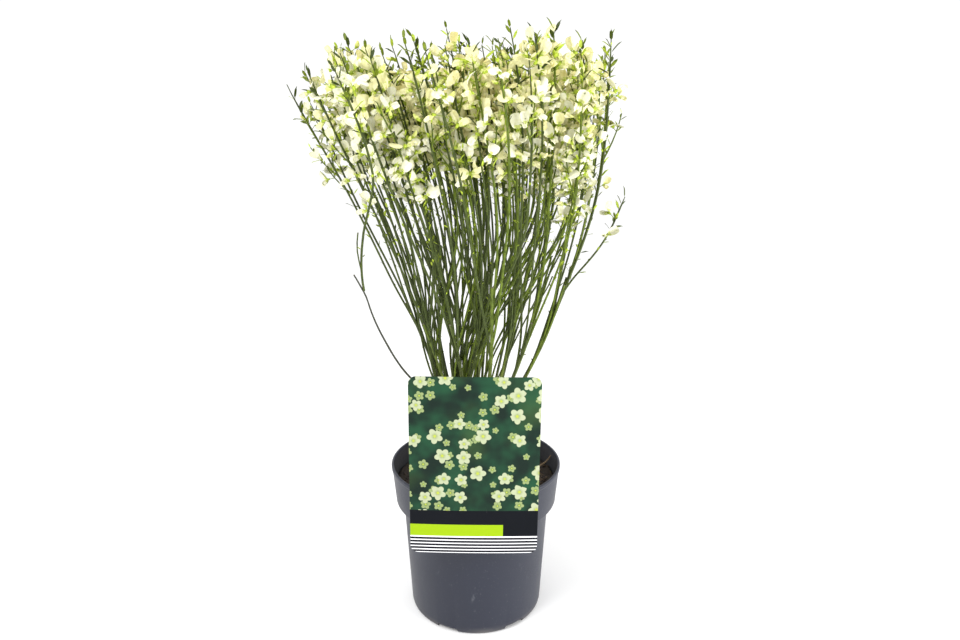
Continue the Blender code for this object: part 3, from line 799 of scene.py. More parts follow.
# %% [markdown]
# ## The trunk
# The trunk is short. Its foot flares where roots begin, it narrows to a waist, and it widens to a
# head that all the boughs stand on. It is turned, pulled into five ridges and pushed over a
# little. Then two textures heave its surface, so that the bark is real relief.

# %% Trunk
FAN_FOOT_Z = 150 * MM
DOME_RADIUS = 33 * MM
DOME_EDGE = 17.8 * MM
TRUNK_LEAN = 5 * MM
LEAN_STEPS = (0, 8, 18, 30)  # the foot is pushed over in four steps, each up to this height
TRUNK_RIDGES = 5
RIDGE_TWIST = 60  # radians per metre of height
TRUNK_RINGS = (
    (17.4, 0), (15.6, 1.2), (13.6, 2.6), (11.8, 5), (10.8, 8), (10.6, 13), (11.2, 18),
    (12.6, 24), (14.6, 30), (16.4, 35), (17.3, 39),
)
LEAN_PEAK_Z = 290 * MM
LEAN_PEAK_X = 8 * MM
LEAN_CURVE = 0.52


def fan_axis_x(z):
    """The fan's middle line: it bows to the right up to its peak, then leans to the left."""
    return LEAN_PEAK_X - LEAN_CURVE * (z - LEAN_PEAK_Z) ** 2


def dome_ring(share):
    """A ring of the head's dome, whose middle is the fan's foot, in mm over the soil."""
    radius = share * DOME_EDGE
    height = FAN_FOOT_Z + math.sqrt(DOME_RADIUS**2 - radius**2) - SOIL_LEVEL
    return radius / MM, height / MM


def on_ridge(place):
    angle = math.atan2(place.y, place.x)
    return math.sin(TRUNK_RIDGES * angle + RIDGE_TWIST * (place.z - SOIL_LEVEL)) > 0.2


dome = tuple(dome_ring(share) for share in (0.95, 0.8, 0.6, 0.4, 0.2, 0.05))
trunk = turned("ridged_trunk", TRUNK_RINGS + dome, 60, SOIL_LEVEL)
for ridge, top_z, share in ((True, 38 * MM, 1.05), (False, 30 * MM, 0.9)):
    choose(trunk, lambda place: on_ridge(place) == ridge and place.z < SOIL_LEVEL + top_z)
    resize((share, share, 1), (0, 0, SOIL_LEVEL))
for height in LEAN_STEPS:
    choose(trunk, lambda place: place.z < SOIL_LEVEL + (height + 1) * MM)
    shift(0.2 * TRUNK_LEAN, 0, 0)
choose(trunk)
shift(fan_axis_x(FAN_FOOT_Z), 0, 0)
apply(trunk, "SUBSURF", levels=2, render_levels=2)
heave(trunk, "STUCCI", 2.2 * MM, 0.9 * MM, "NORMAL")
heave(trunk, "CLOUDS", 5 * MM, 1.0 * MM, "NORMAL")
smooth_over(trunk)

# %% [markdown]
# Old bark is brown, cracked lengthwise and grey-green in patches. Towards the boughs it is younger
# and turns green, so a band of heights blends the two.

# %% Bark finish
GREEN_FROM = 20 * MM  # over the soil the bark turns green between these two heights
GREEN_FULL = 42 * MM


def bark_finish():
    finish = Finish("brown_bark", 0.85)
    crack = finish.noise(240, 6, (1, 1, 0.18), 0.7)
    flake = finish.noise(90, 4)
    finish.coat(finish.step(crack, 0.3, 0.7), (0.045, 0.032, 0.020), (0.16, 0.125, 0.075))
    finish.coat(finish.step(flake, 0.5, 0.75) * 0.55, (0.12, 0.13, 0.06))
    height = finish.part("Z") + 20 * MM * (flake - 0.5)
    green = finish.step(height, SOIL_LEVEL + GREEN_FROM, SOIL_LEVEL + GREEN_FULL)
    finish.coat(green * 0.8, finish.blend(crack, (0.05, 0.055, 0.022), (0.12, 0.135, 0.05)))
    return finish.done(crack, 0.7 * MM, Roughness=0.7 + 0.25 * crack)


on_plant(trunk, bark_finish(), ["trunk"])

# %% [markdown]
# ## The rule of the fan
# All stems follow one rule. Each has a place (u, v) in a disc, and the disc widens with height, so
# places turn into a fan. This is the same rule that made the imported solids, so every limb lies
# where its solid lies.

# %% Fan
FAN_FULL_Z = 517 * MM
FAN_REACH_X = 145 * MM
FAN_REACH_Y = 138 * MM
FAN_OPENING = 1.345
CLEAR = 0.35 * MM


def smooth(share):
    share = min(1.0, max(0.0, share))
    return share * share * (3 - 2 * share)


def fan_point(place, z):
    """Where the place (u, v) of the disc lies at height z."""
    share = (z - FAN_FOOT_Z) / (FAN_FULL_Z - FAN_FOOT_Z)
    spread = FAN_OPENING * share - (FAN_OPENING - 1) * share * share
    return Vector((fan_axis_x(z) + FAN_REACH_X * spread * place.x, FAN_REACH_Y * spread * place.y, z))


# %% [markdown]
# One limb stands in the middle, with six round it and twelve more round those. The bowed limb on
# the left keeps no place: it swings out and back along a path of its own.

# %% Limbs
RINGS = ((1, 0.0, 0.0), (6, 0.48, 0.35), (12, 0.94, 0.1))
BOUGH_TIP_Z = (232 * MM, 256 * MM)
STUB_Z = (300 * MM, 362 * MM)
FORK_OVER_FOOT = 6 * MM
FORK_UNDER_STUB = 5 * MM
# The bowed limb's path: height, u and v.
BOWED_PATH = (
    (180 * MM, -1.16, -0.44), (250 * MM, -1.38, -0.62), (288 * MM, -1.34, -0.66),
    (342 * MM, -1.16, -0.74), (392 * MM, -0.84, -0.92), (436 * MM, -0.60, -1.02),
    (517 * MM, -0.54, -1.04),
)
BOWED_HEIGHTS = [row[0] for row in BOWED_PATH]
BOWED_TIP_Z = 282 * MM
BOWED_STUB_Z = 355 * MM
BOWED_STUB_OUT = Vector((-0.08, 0.0))
PLACES = [
    polar(radius, first + TURN * index / count)
    for count, radius, first in RINGS
    for index in range(count)
]
BOWED = len(PLACES)


def limb_place(index, z):
    """The place of a limb at height z, on a smooth curve through the path for the bowed one."""
    if index < BOWED:
        return PLACES[index]
    last = len(BOWED_PATH) - 2
    step = max(0, min(last, sum(z > height for height in BOWED_HEIGHTS) - 1))
    share = (z - BOWED_HEIGHTS[step]) / (BOWED_HEIGHTS[step + 1] - BOWED_HEIGHTS[step])
    share = min(1.0, max(0.0, share))
    knots = [Vector(BOWED_PATH[max(0, min(last + 1, step + k))][1:]) for k in (-1, 0, 1, 2)]
    bends = [0.5 * (knots[2] - knots[0]), 0.5 * (knots[3] - knots[1])]
    line = knots[1].lerp(knots[2], smooth(share))
    return line + bends[0] * share * (1 - share) ** 2 - bends[1] * share**2 * (1 - share)


def nearest_limb(place):
    return min(range(BOWED), key=lambda index: (PLACES[index] - place).length)


# %% [markdown]
# The whips stand on a sunflower spiral: each is a golden angle on from the one before it, so that
# no two stand together. The random numbers are drawn with the same seeds and in the same order as
# for the solids.

# %% Whips of the solids
WHIP_COUNT = 79
WHIP_REACH = 0.99
WHIP_JITTER = 0.03
WHIP_SPREAD_SHARE = 0.55
TIP_Z = 556 * MM
TIP_TILT = 12 * MM
TIP_DROP = (27 * MM, 32 * MM)
TIP_CHANGE = (-20 * MM, 11 * MM)
FORK_Z = (246 * MM, 302 * MM)
FAR_TIPS = ((-1.01, -0.06, 519 * MM), (0.97, 0.10, 541 * MM), (0.91, -0.30, 553 * MM))
SPRIG = Vector((1.24, 0.09))
SPRIG_Z = (322 * MM, 368 * MM, 421 * MM)  # fork, first flower and tip
BLOOM_Z = (392 * MM, 428 * MM)
CELL_GAP = 0.055
GOLDEN_ANGLE = math.radians(137.508)

Limb = namedtuple("Limb", "name place tip_z stub_z whips")
Whip = namedtuple("Whip", "place fork_z settle_z tip_z bloom_z turn")


def cell_distance(index, place, z):
    """How far inside a limb's cell a place is, in the disc: under 0 it belongs to another."""
    own = limb_place(index, z)
    sites = [limb_place(other, z) for other in range(BOWED + 1) if other != index]
    squares = (place - own).length_squared
    return min(((place - s).length_squared - squares) / (2 * (s - own).length) for s in sites)


def jitter(draw, reach):
    return Vector([draw.uniform(-reach, reach) for _ in range(2)])


def spiral_place(draw, number):
    radius = WHIP_REACH * math.sqrt((number + 0.5) / WHIP_COUNT)
    place = polar(radius, number * GOLDEN_ANGLE) + jitter(draw, WHIP_JITTER)
    limb = nearest_limb(place)
    while min(cell_distance(limb, place, z) for z in BOWED_HEIGHTS) < CELL_GAP:
        place = place.lerp(PLACES[limb], 0.1)
    return place


def crown_z(place):
    """The height of the crown's top over a place, before chance lowers or lifts a tip."""
    drop = TIP_DROP[0] * place.x**2 + TIP_DROP[1] * place.y**2
    return TIP_Z + TIP_TILT * place.x - drop


def whip_rule(number):
    """Whip number k. The last numbers are the far tips."""
    draw = random.Random(4100 + number)
    if number < WHIP_COUNT:
        place = spiral_place(draw, number)
        tip_z = crown_z(place) + between(TIP_CHANGE, draw.random())
    else:
        x, y, tip_z = FAR_TIPS[number - WHIP_COUNT]
        place = Vector((x, y))
    fork_z = between(FORK_Z, draw.random())
    settle_z = between((fork_z, tip_z), WHIP_SPREAD_SHARE)
    bloom_z = between(BLOOM_Z, draw.random())
    return Whip(place, fork_z, settle_z, tip_z, bloom_z, draw.uniform(0, TURN))


def make_limbs():
    """Every limb with the whips that stand in its cell."""
    whips = [[] for _ in range(BOWED)]
    for number in range(WHIP_COUNT + len(FAR_TIPS)):
        whip = whip_rule(number)
        whips[nearest_limb(whip.place)].append(whip)
    fork_z, bloom_z, tip_z = SPRIG_Z
    whips[nearest_limb(SPRIG)].append(Whip(SPRIG, fork_z, tip_z, tip_z, bloom_z, 1.0))
    limbs = []
    for index, place in enumerate(PLACES):
        draw = random.Random(700 + index)
        tip_z = between(BOUGH_TIP_Z, draw.random())
        highest_fork = max(whip.fork_z for whip in whips[index])
        stub_z = max(between(STUB_Z, draw.random()), highest_fork + FORK_UNDER_STUB)
        limbs.append(Limb(f"{index:02d}", place, tip_z, stub_z, whips[index]))
    end_z, x, y = BOWED_PATH[-1]
    fork_z = BOWED_STUB_Z - 3 * FORK_UNDER_STUB
    whip = Whip(Vector((x, y)), fork_z, end_z, end_z, BLOOM_Z[1], 2.0)
    limbs.append(Limb("bowed", whip.place, BOWED_TIP_Z, BOWED_STUB_Z, [whip]))
    return limbs


LIMBS = make_limbs()
print("limbs:", len(LIMBS), "whips:", sum(len(limb.whips) for limb in LIMBS))

# %% [markdown]
# ## Boughs
# Each bough runs from the trunk's head to the flat cut where it was pruned, and the whips leave it
# on the way. It swells into a collar at its foot. The bowed limb is thinner than the rest.

# %% Bough lines
BOUGH_STEPS = 34
BOUGH_FOOT_RADIUS = (1.4 * MM, 2.9 * MM)
STUB_RADIUS = 1.15 * MM
COLLAR = 0.45  # how much a bough swells at its foot
COLLAR_SHARE = 0.13
BOWED_SLIM = 0.62
BOUGH_SWAY = 0.8 * MM
SINK = 2.5 * MM  # how far a bough's foot is sunk in the trunk's head
STUB_TURN = 24 * MM  # height over which the bowed limb's stub turns outwards


def shares(count):
    """Even steps from 0 to 1, with both ends."""
    return [step / count for step in range(count + 1)]


def ripple(phases, share, pace):
    """A sideways wave: this many radians from end to end in x, and one fewer in y."""
    x, y = math.sin(pace * share + phases[0]), math.sin((pace - 1) * share + phases[1])
    return Vector((x, y, 0))


def dome_height(place):
    """The height at which a limb meets the trunk's head, a cap about the foot of the fan."""
    low, high = FAN_FOOT_Z, FAN_FOOT_Z + DOME_RADIUS
    centre = Vector((fan_axis_x(FAN_FOOT_Z), 0, FAN_FOOT_Z))
    for _ in range(30):
        middle = 0.5 * (low + high)
        if (fan_point(place, middle) - centre).length < DOME_RADIUS + CLEAR:
            low = middle
        else:
            high = middle
    return high


def bough_line(index, limb):
    """The bough's line and its radii, thick at the foot and thin at the cut."""
    draw = random.Random(8200 + index)
    slim = BOWED_SLIM if index == BOWED else 1.0
    foot_z = dome_height(limb_place(index, FAN_FOOT_Z)) - SINK
    phases = [draw.uniform(0, ROUND) for _ in range(2)]
    thick = between(BOUGH_FOOT_RADIUS, draw.random()) * slim
    points, radii = [], []
    for share in shares(BOUGH_STEPS):
        z = between((foot_z, limb.stub_z), share)
        place = limb_place(index, z)
        if index == BOWED:
            place = place + BOWED_STUB_OUT * max(0.0, (z - BOWED_STUB_Z) / STUB_TURN + 1) ** 1.5
        points.append(fan_point(place, z) + BOUGH_SWAY * share * ripple(phases, share, 9))
        swell = 1 + COLLAR * (1 - smooth(share / COLLAR_SHARE))
        radii.append(swell * between((thick, STUB_RADIUS * slim), share**0.8))
    return points, radii


# %% [markdown]
# Young broom stems have about five ridges, so the profile is a star. On boughs a fine texture adds
# the relief of bark. Every second bough is darker, and the bowed one is greyer than the rest.

# %% Stem finish and boughs
STEM_SIDES = 10
BOUGH_RIDGE = 0.16
WHIP_RIDGE = 0.18
# Grey bark on the low boughs, painted paler than the real bark to lift the shade under the crown and the
# card.
LIGHTENED_BARK_Z = (300 * MM, 190 * MM)  # grey bark starts here and is complete here


def stem_finish(name, dark, light, woody):
    """Green ridged stem. Woody is how much grey bark its lowest part has; that bark is partly real and
    partly painted light, made paler to lift the shade that the crown and the card cast low in the shrub.
    """
    finish = Finish(name)
    grain = finish.noise(700, 4, (1, 1, 0.06), 0.6)
    patch = finish.noise(45, 3)
    finish.coat(finish.step(grain, 0.32, 0.68), dark, light)
    finish.coat(finish.step(patch, 0.45, 0.7) * 0.45, tuple(0.62 * value for value in light))
    # Real grey bark, painted paler: painted light that lifts the shade low in the shrub.
    low = finish.step(finish.part("Z"), *LIGHTENED_BARK_Z) * finish.step(grain, 0.2, 0.6) * woody
    finish.coat(low, (0.17, 0.165, 0.080))
    finish.coat(finish.step(finish.noise(900, 3), 0.66, 0.74) * 0.35, (0.20, 0.19, 0.11))
    gloss = 0.42 + 0.3 * grain
    return finish.done(grain, 0.3 * MM, Roughness=gloss, Specular_IOR_Level=0.16)


def stem_piece(name, lines, colours, nodes=(), woody=0.0):
    """All stems of one colour. Woody ones are boughs, and get the relief of bark."""
    piece = sweep(name, lines, STEM_SIDES, BOUGH_RIDGE if woody else WHIP_RIDGE)
    if woody:
        heave(piece, "CLOUDS", 3 * MM, 0.35 * MM, "NORMAL", depth=3)
    smooth_over(piece)
    on_plant(piece, stem_finish(name + "_skin", *colours, woody), nodes)


BOUGH_LINES = [bough_line(index, limb) for index, limb in enumerate(LIMBS)]
for name, rows, dark, light, woody in (
    ("olive_boughs", slice(0, BOWED, 2), (0.047, 0.068, 0.010), (0.152, 0.206, 0.028), 0.4),
    ("dark_boughs", slice(1, BOWED, 2), (0.031, 0.043, 0.011), (0.093, 0.121, 0.031), 0.4),
    ("bowed_bough", slice(BOWED, None), (0.028, 0.030, 0.022), (0.070, 0.074, 0.055), 0.3),
):
    nodes = [f"bough_{limb.name}" for limb in LIMBS[rows]]
    stem_piece(name, BOUGH_LINES[rows], (dark, light), nodes, woody)

# %% [markdown]
# ## Whips
# The whips of the solids are all here, in the same places. Each leaves its bough, settles at its
# own place in the fan and sways a little on the way. It thins slowly and ends in a short point.

# %% Whip lines
WHIP_STEPS = 26
WHIP_ROOT_RADIUS = 1.08 * MM
WHIP_TIP_RADIUS = 0.9 * MM
WHIP_POINT_RADIUS = 0.4 * MM
WHIP_SWAY = 1.8 * MM
BUD_LENGTH = 13 * MM
BOX_INSET = 1.5 * MM  # how far a whip's middle stays inside the box of the solids

Stem = namedtuple("Stem", "name line radii bloom_z turn")


def whip_point(index, whip, z):
    """The middle of a whip at height z: it leaves the bough's place and settles at its own."""
    if index == BOWED:
        return fan_point(limb_place(index, z), z)
    share = min(1.0, (z - whip.fork_z) / (whip.settle_z - whip.fork_z))
    place = PLACES[index].lerp(whip.place, 2 * smooth(0.5 + 0.5 * share) - 1)
    return fan_point(place, z)


def held_in(point):
    """The nearest point that keeps a whip inside the box of the solids."""
    low, high = [Vector(corner) for corner in CAD_BOX]
    return Vector([min(max(point[k], low[k] + BOX_INSET), high[k] - BOX_INSET) for k in range(3)])


def swayed(draw, points, depth):
    """The same line with a slow sideways wave, none at its foot."""
    phases = [draw.uniform(0, ROUND) for _ in range(2)]
    return [
        held_in(point + depth * smooth(4 * share) * ripple(phases, share, 7))
        for point, share in zip(points, shares(len(points) - 1))
    ]


def tapered(root, share):
    """A whip's radius: it thins slowly and ends in a short point."""
    radius = between((root, min(root, WHIP_TIP_RADIUS)), share)
    return between((radius, WHIP_POINT_RADIUS), smooth((share - 0.88) / 0.12))


def whip_stem(name, index, whip):
    """A whip of the solids."""
    draw = random.Random(name)
    root = WHIP_ROOT_RADIUS * draw.uniform(0.85, 1.15)
    span = (whip.fork_z, whip.tip_z - 0.4 * BUD_LENGTH)
    points = [whip_point(index, whip, between(span, share)) for share in shares(WHIP_STEPS)]
    radii = [tapered(root, share) for share in shares(WHIP_STEPS)]
    return Stem(name, swayed(draw, points, WHIP_SWAY), radii, whip.bloom_z, whip.turn)


# %% [markdown]
# Finer whips are added by the same rule. They rise from the trunk's head itself, each with a place
# at its foot and another at its tip, so that they cross as they do in a crowded shrub. They end
# lower and never widen the fan.

# %% Finer whips
FINE_COUNT = 56
FINE_STEPS = 32
FINE_REACH = 0.9
FINE_ROOT_RADIUS = (0.8 * MM, 1.9 * MM)
FINE_SWAY = 2.4 * MM
FINE_JITTER = 0.05
FINE_DRIFT = Vector((-0.7, 0.0))  # the fan's foot stands a little left of its middle line
FINE_FIRST = 1.1  # the second spiral starts at another angle
FOOT_REACH = 1.15  # feet further out would miss the trunk's head
FINE_DROP = (12 * MM, 58 * MM)
FINE_CROSS = 0.42
FINE_SETTLED = 0.66  # the share of their length after which they keep their place
FINE_SHIFT = 0.12  # they crowd a little to the right of the middle
FINE_CROWDING = 0.6  # 0.5 is an even spread and more crowds them in the middle
FINE_GATHER = 0.62  # how wide their feet stand, as a share of their tips


def fine_stem(number):
    """A finer whip on a second spiral, from the trunk's head up."""
    draw = random.Random(9300 + number)
    radius = FINE_REACH * ((number + 0.5) / FINE_COUNT) ** FINE_CROWDING
    place = polar(radius, FINE_FIRST + number * GOLDEN_ANGLE) + jitter(draw, FINE_JITTER)
    place.x += FINE_SHIFT * (1 - place.x**2)
    foot = FINE_GATHER * place + FINE_DRIFT + jitter(draw, FINE_CROSS)
    foot *= min(1.0, FOOT_REACH / foot.length)
    outer = smooth((abs(place.x) - 0.3) / 0.3)
    tip_z = crown_z(place) - between(FINE_DROP, draw.random()) * (1 - 0.75 * outer)
    span = (dome_height(foot) - SINK, tip_z)
    root = between(FINE_ROOT_RADIUS, draw.random() ** 2)
    points = [
        fan_point(foot.lerp(place, smooth(share / FINE_SETTLED)), between(span, share))
        for share in shares(FINE_STEPS)
    ]
    radii = [tapered(root, share**0.8) for share in shares(FINE_STEPS)]
    bloom_z = between(BLOOM_Z, draw.random())
    line = swayed(draw, points, FINE_SWAY)
    return Stem(f"fine_{number}", line, radii, bloom_z, draw.uniform(0, ROUND))


def whip_stems():
    stems = []
    for index, limb in enumerate(LIMBS):
        lowest = limb.tip_z + CLEAR + FORK_OVER_FOOT
        for number, whip in enumerate(limb.whips):
            whip = whip._replace(fork_z=max(whip.fork_z, lowest))
            stems.append(whip_stem(f"{limb.name}_{number}", index, whip))
    return stems + [fine_stem(number) for number in range(FINE_COUNT)]


WHIPS = whip_stems()

# %% [markdown]
# Side twigs are the next order of branching. They leave a whip in its flowering part, at a narrow
# angle, and bend up beside it. The crown's top isn't level: it dips twice, so twigs and flowers
# end lower there.

# %% Side twigs
TWIG_COUNTS = (0, 1, 1, 2, 2, 3)
TWIG_LENGTH = (18 * MM, 46 * MM)
TWIG_CLEAR = (6 * MM, 30 * MM)  # none leaves nearer to the first flower or to the tip
TWIG_UNDER_TIP = 4 * MM  # a twig's tip ends at least this much lower than its whip's
TWIG_TIP_RADIUS = 0.45 * MM
TWIG_STEPS = 5
BOX_MARGIN = 0.4 * MM
TWIG_MARGIN = 3 * MM
# Where the flowers end lower and where they start higher: (middle, reach, height) along x.
DIPS = ((-54 * MM, 29 * MM, 30 * MM), (18 * MM, 29 * MM, 17 * MM))
LIFTS = ((-74 * MM, 50 * MM, 15 * MM), (100 * MM, 60 * MM, -19 * MM))


def bumps(rows, x):
    return sum(height * smooth(1 - abs(x - middle) / reach) for middle, reach, height in rows)


def in_box(point, margin=BOX_MARGIN):
    """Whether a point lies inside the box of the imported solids."""
    return all(CAD_BOX[0][k] + margin < point[k] < CAD_BOX[1][k] - margin for k in range(3))


def along_stem(stem, z):
    """(point, direction, radius) of a whip at height z."""
    for number, (low, high) in enumerate(zip(stem.line, stem.line[1:])):
        if z <= high.z:
            break
    share = (z - low.z) / (high.z - low.z)
    radius = between(stem.radii[number : number + 2], share)
    return low.lerp(high, share), (high - low).normalized(), radius


def side_of(along, turn):
    """The direction square to a stem that points towards this turn about it."""
    level = polar(1.0, turn).to_3d()
    return (level - level.project(along)).normalized()


def side_twigs(number, stem):
    draw = random.Random(15000 + number)
    tip = stem.line[-1]
    twigs = []
    for count in range(draw.choice(TWIG_COUNTS)):
        z = between((stem.bloom_z + TWIG_CLEAR[0], tip.z - TWIG_CLEAR[1]), draw.random())
        point, along, radius = along_stem(stem, z)
        out = side_of(along, draw.uniform(0, ROUND))
        length = between(TWIG_LENGTH, draw.random())
        line = [
            point + length * (share * along + 0.55 * (share - 0.4 * share**2) * out)
            for share in shares(TWIG_STEPS)
        ]
        end = line[-1]
        top_z = tip.z - TWIG_UNDER_TIP - bumps(DIPS, end.x)
        if in_box(end, TWIG_MARGIN) and end.z < top_z:
            span = (0.7 * radius + 0.15 * MM, TWIG_TIP_RADIUS)
            radii = [between(span, share) for share in shares(TWIG_STEPS)]
            twigs.append(Stem(f"twig_{number}_{count}", line, radii, z, draw.uniform(0, ROUND)))
    return twigs


TWIGS = [twig for number, stem in enumerate(WHIPS) for twig in side_twigs(number, stem)]

# %% [markdown]
# The grower cut some twigs short. They stick out of the lower whips and end flat. The bowed limb
# has such a stub too, thin and upright.

# %% Pruned twigs
PRUNED = 22
PRUNED_Z = (222 * MM, 330 * MM)
PRUNED_LENGTH = (20 * MM, 58 * MM)
BOWED_TWIG_Z = (352 * MM, 393 * MM)
BOWED_TWIG_OUT = 6.0 * MM


def pruned_twig(number):
    """A short twig that was cut off: it leaves a lower whip and ends flat."""
    draw = random.Random(21000 + number)
    stem = WHIPS[draw.randrange(len(WHIPS))]
    z = max(between(PRUNED_Z, draw.random()), stem.line[0].z + 12 * MM)
    point, along, radius = along_stem(stem, z)
    out = side_of(along, draw.uniform(0, ROUND))
    length = between(PRUNED_LENGTH, draw.random())
    line = [point + length * share * (along + 0.22 * (1.4 - share) * out) for share in shares(4)]
    return line, [0.85 * radius] * len(line)


def bowed_twig():
    """The bowed limb forks a second time, into a thin upright twig."""
    line = []
    for share in shares(5):
        z = between(BOWED_TWIG_Z, share)
        out = Vector((-BOWED_TWIG_OUT * smooth(1.25 * share), 0, 0))
        line.append(fan_point(limb_place(BOWED, z), z) + out)
    return line, [0.7 * WHIP_TIP_RADIUS] * len(line)


CUT_TWIGS = [pruned_twig(number) for number in range(PRUNED)] + [bowed_twig()]
print("whips with the finer ones:", len(WHIPS), "side twigs:", len(TWIGS), "cut:", len(CUT_TWIGS))

# %% [markdown]
# Whips come in two tones as well. Every second one is dark, and on the left they all are. Each
# tone is a piece of its own, so that its colour is a plain one.

# %% Whip meshes
DARK_X = -62 * MM
OLIVE = ((0.044, 0.066, 0.007), (0.148, 0.204, 0.022))
DEEP = ((0.029, 0.041, 0.010), (0.087, 0.115, 0.029))


def lines_of(stems):
    return [(stem.line, stem.radii) for stem in stems]


dark_whips = [
    stem for number, stem in enumerate(WHIPS) if number % 2 == 0 or stem.line[-1].x < DARK_X
]
olive_whips = [stem for stem in WHIPS if stem not in dark_whips]
stem_piece("olive_whips", lines_of(olive_whips), OLIVE, [f"mass_{limb.name}" for limb in LIMBS])
stem_piece("dark_whips", lines_of(dark_whips), DEEP)
stem_piece("side_twigs", lines_of(TWIGS), OLIVE)
stem_piece("pruned_twigs", CUT_TWIGS, DEEP)

# %% [markdown]
# Where a bough or a twig was pruned, its cut shows wood that has weathered grey. Each cut is a
# thin disc on the stem's end, square to it.

# %% Pruned cuts


def towards(direction):
    """The turn that brings Z to a direction."""
    return direction.to_track_quat("Z", "Y").to_matrix().to_4x4()


disc = start("cut_disc", bpy.ops.mesh.primitive_cylinder_add, vertices=10, radius=1, depth=0.5)
apply(disc, "BEVEL", width=0.12, segments=2)
ends = []
for points, radii in BOUGH_LINES + CUT_TWIGS:
    turn = towards((points[-1] - points[-2]).normalized())
    ends.append(Matrix.Translation(points[-1]) @ turn @ Matrix.Scale(0.97 * radii[-1], 4))
cuts = strew("pruned_cuts", disc, ends)
bpy.data.objects.remove(disc)
cut_colours = ((0.07, 0.065, 0.045), (0.19, 0.17, 0.11))
on_plant(cuts, grained("cut_wood", 0.7, cut_colours, 1500, 3, 0.15 * MM))

# %% [markdown]
# ## The flower
# A pea flower has a broad upright banner, two wings that point forwards, and a keel like a small
# boat between them. They stand in a green calyx on a thin stalk. A petal starts as a small grid
# whose rim is rounded with To Sphere. Then its sides, crease and tip are pushed back or forward.
# Each petal costs few faces, because the flower is copied by the hundred.

# %% Petals
FLAT_ON = {"rotation_euler": (math.pi / 2, 0, 0)}


def petal(name, columns, rows, width, length):
    """A flat oval petal in the XY plane, its foot at the origin and its tip along Y."""
    grid = {"x_subdivisions": columns, "y_subdivisions": rows, "size": 1}
    piece = start(name, bpy.ops.mesh.primitive_grid_add, **grid)
    choose(piece, lambda place: max(abs(place.x), abs(place.y)) > 0.49)
    bpy.ops.transform.tosphere(value=1.0)
    choose(piece)
    resize((width / 1.18, length / 1.18, 1))
    shift(0, 0.5 * length, 0)
    return piece


def push(piece, test, move):
    choose(piece, test)
    shift(*move)


def squeeze(piece, test, share):
    choose(piece, test)
    resize((share, 1, 1))


def soften_petal(piece):
    """Rounds off the kinks that the pushes left, and makes up for the shrinkage."""
    choose(piece)
    bpy.ops.mesh.vertices_smooth(factor=0.4, repeat=2)
    resize((1.1, 1.08, 1.1))


def place_part(piece, place, turn):
    """Turns a petal about its foot and sets it in the flower; place in mm and turn in degrees."""
    turn = [math.radians(value) for value in turn]
    return write_in(piece, location=Vector(place) * MM, rotation_euler=turn)


def model_banner(width, length, fold, curl, lean):
    """The banner. Fold is how far its sides go back, curl how far its tip does."""
    piece = petal("banner", 6, 4, width, length)
    half = 0.5 * width
    push(piece, lambda place: abs(place.x) > 0.5 * half, (0, 0, -0.45 * fold))
    push(piece, lambda place: abs(place.x) > 0.8 * half, (0, 0, -0.55 * fold))
    push(piece, lambda place: abs(place.x) < 0.1 * half, (0, 0, -0.30 * abs(fold)))
    push(piece, lambda place: place.y > 0.7 * length, (0, 0, -0.4 * curl))
    push(piece, lambda place: place.y > 0.9 * length, (0, 0, -0.6 * curl))
    notch = (0, -0.07 * length, 0)
    push(piece, lambda place: place.y > 0.9 * length and abs(place.x) < 0.1 * half, notch)
    squeeze(piece, lambda place: place.y < 0.3 * length, 0.78)
    squeeze(piece, lambda place: place.y < 0.1 * length, 0.6)
    soften_petal(piece)
    return place_part(piece, (0, -2.2, 0.2), (90 + lean, 0, 0))


def model_wing(side, roll, spread, dip):
    """A wing: a bowed oblong petal that hangs beside the keel. Roll 90 stands it on edge."""
    piece = petal("wing", 2, 4, 6.2 * MM, 9.8 * MM)
    push(piece, lambda place: abs(place.x) < 0.5 * MM and place.y > 2 * MM, (0, 0, 1.5 * MM))
    push(piece, lambda place: place.y > 8 * MM, (0, 0, -1.3 * MM))
    squeeze(piece, lambda place: place.y < 2 * MM, 0.6)
    soften_petal(piece)
    place_part(piece, (0, 0, 0), (0, roll * side, 0))
    return place_part(piece, (1.3 * side, -2.4, -0.2), (-dip, 0, 180 + spread * side))


def pod(name, rings, size, place, lift_y, lift):
    """A closed form along Y, its tip lifted: a keel or a bud. Size and place are in mm."""
    ball = {"segments": 6, "ring_count": rings, "radius": 1}
    piece = write_in(start(name, bpy.ops.mesh.primitive_uv_sphere_add, **ball), **FLAT_ON)
    write_in(piece, scale=Vector(size) * MM, location=Vector(place) * MM)
    push(piece, lambda point: point.y < lift_y * MM, (0, 0, lift * MM))
    return piece


# %% [markdown]
# Three forms are enough: one open, one wide open and one half open, whose banner still folds
# forward. The petals' feet are greenish, so they are parted from the rest as models of their own.

# %% Flower models
PETAL_FOOT = Vector((0, -2.3 * MM, 0))
FOOT_SIZE = 3.4 * MM
# Banner in mm (width, length, fold, curl) and its lean; roll, spread and dip of the rest.
FORMS = {
    "open": ((12.4, 12.4, 4.6, 1.8), -6, (60, 10, 48)),
    "wide": ((13.0, 11.4, 3.0, 2.6), -22, (46, 18, 40)),
    "half": ((10.2, 12.2, -3.4, -1.2), 16, (72, 3, 30)),
}


def model_flower(kind):
    sizes, lean, (roll, spread, dip) = FORMS[kind]
    wings = [model_wing(side, roll, spread, dip) for side in (1, -1)]
    banner = model_banner(*[size * MM for size in sizes], lean)
    keel = pod("keel", 4, (1.4, 4.1, 1.8), (0, -3.6, 0), -6, 1.0)
    place_part(keel, (0, -2.4, -0.8), (dip, 0, 0))
    return join(f"{kind}_flower", [banner, *wings, keel])


def split_foot(flower):
    """Parts the greenish feet of the petals from the rest, as a model of their own."""
    choose(flower, lambda place: (place - PETAL_FOOT).length < FOOT_SIZE, faces=True)
    bpy.ops.mesh.separate(type="SELECTED")
    bpy.ops.object.mode_set(mode="OBJECT")
    return next(piece for piece in bpy.context.selected_objects if piece != flower)


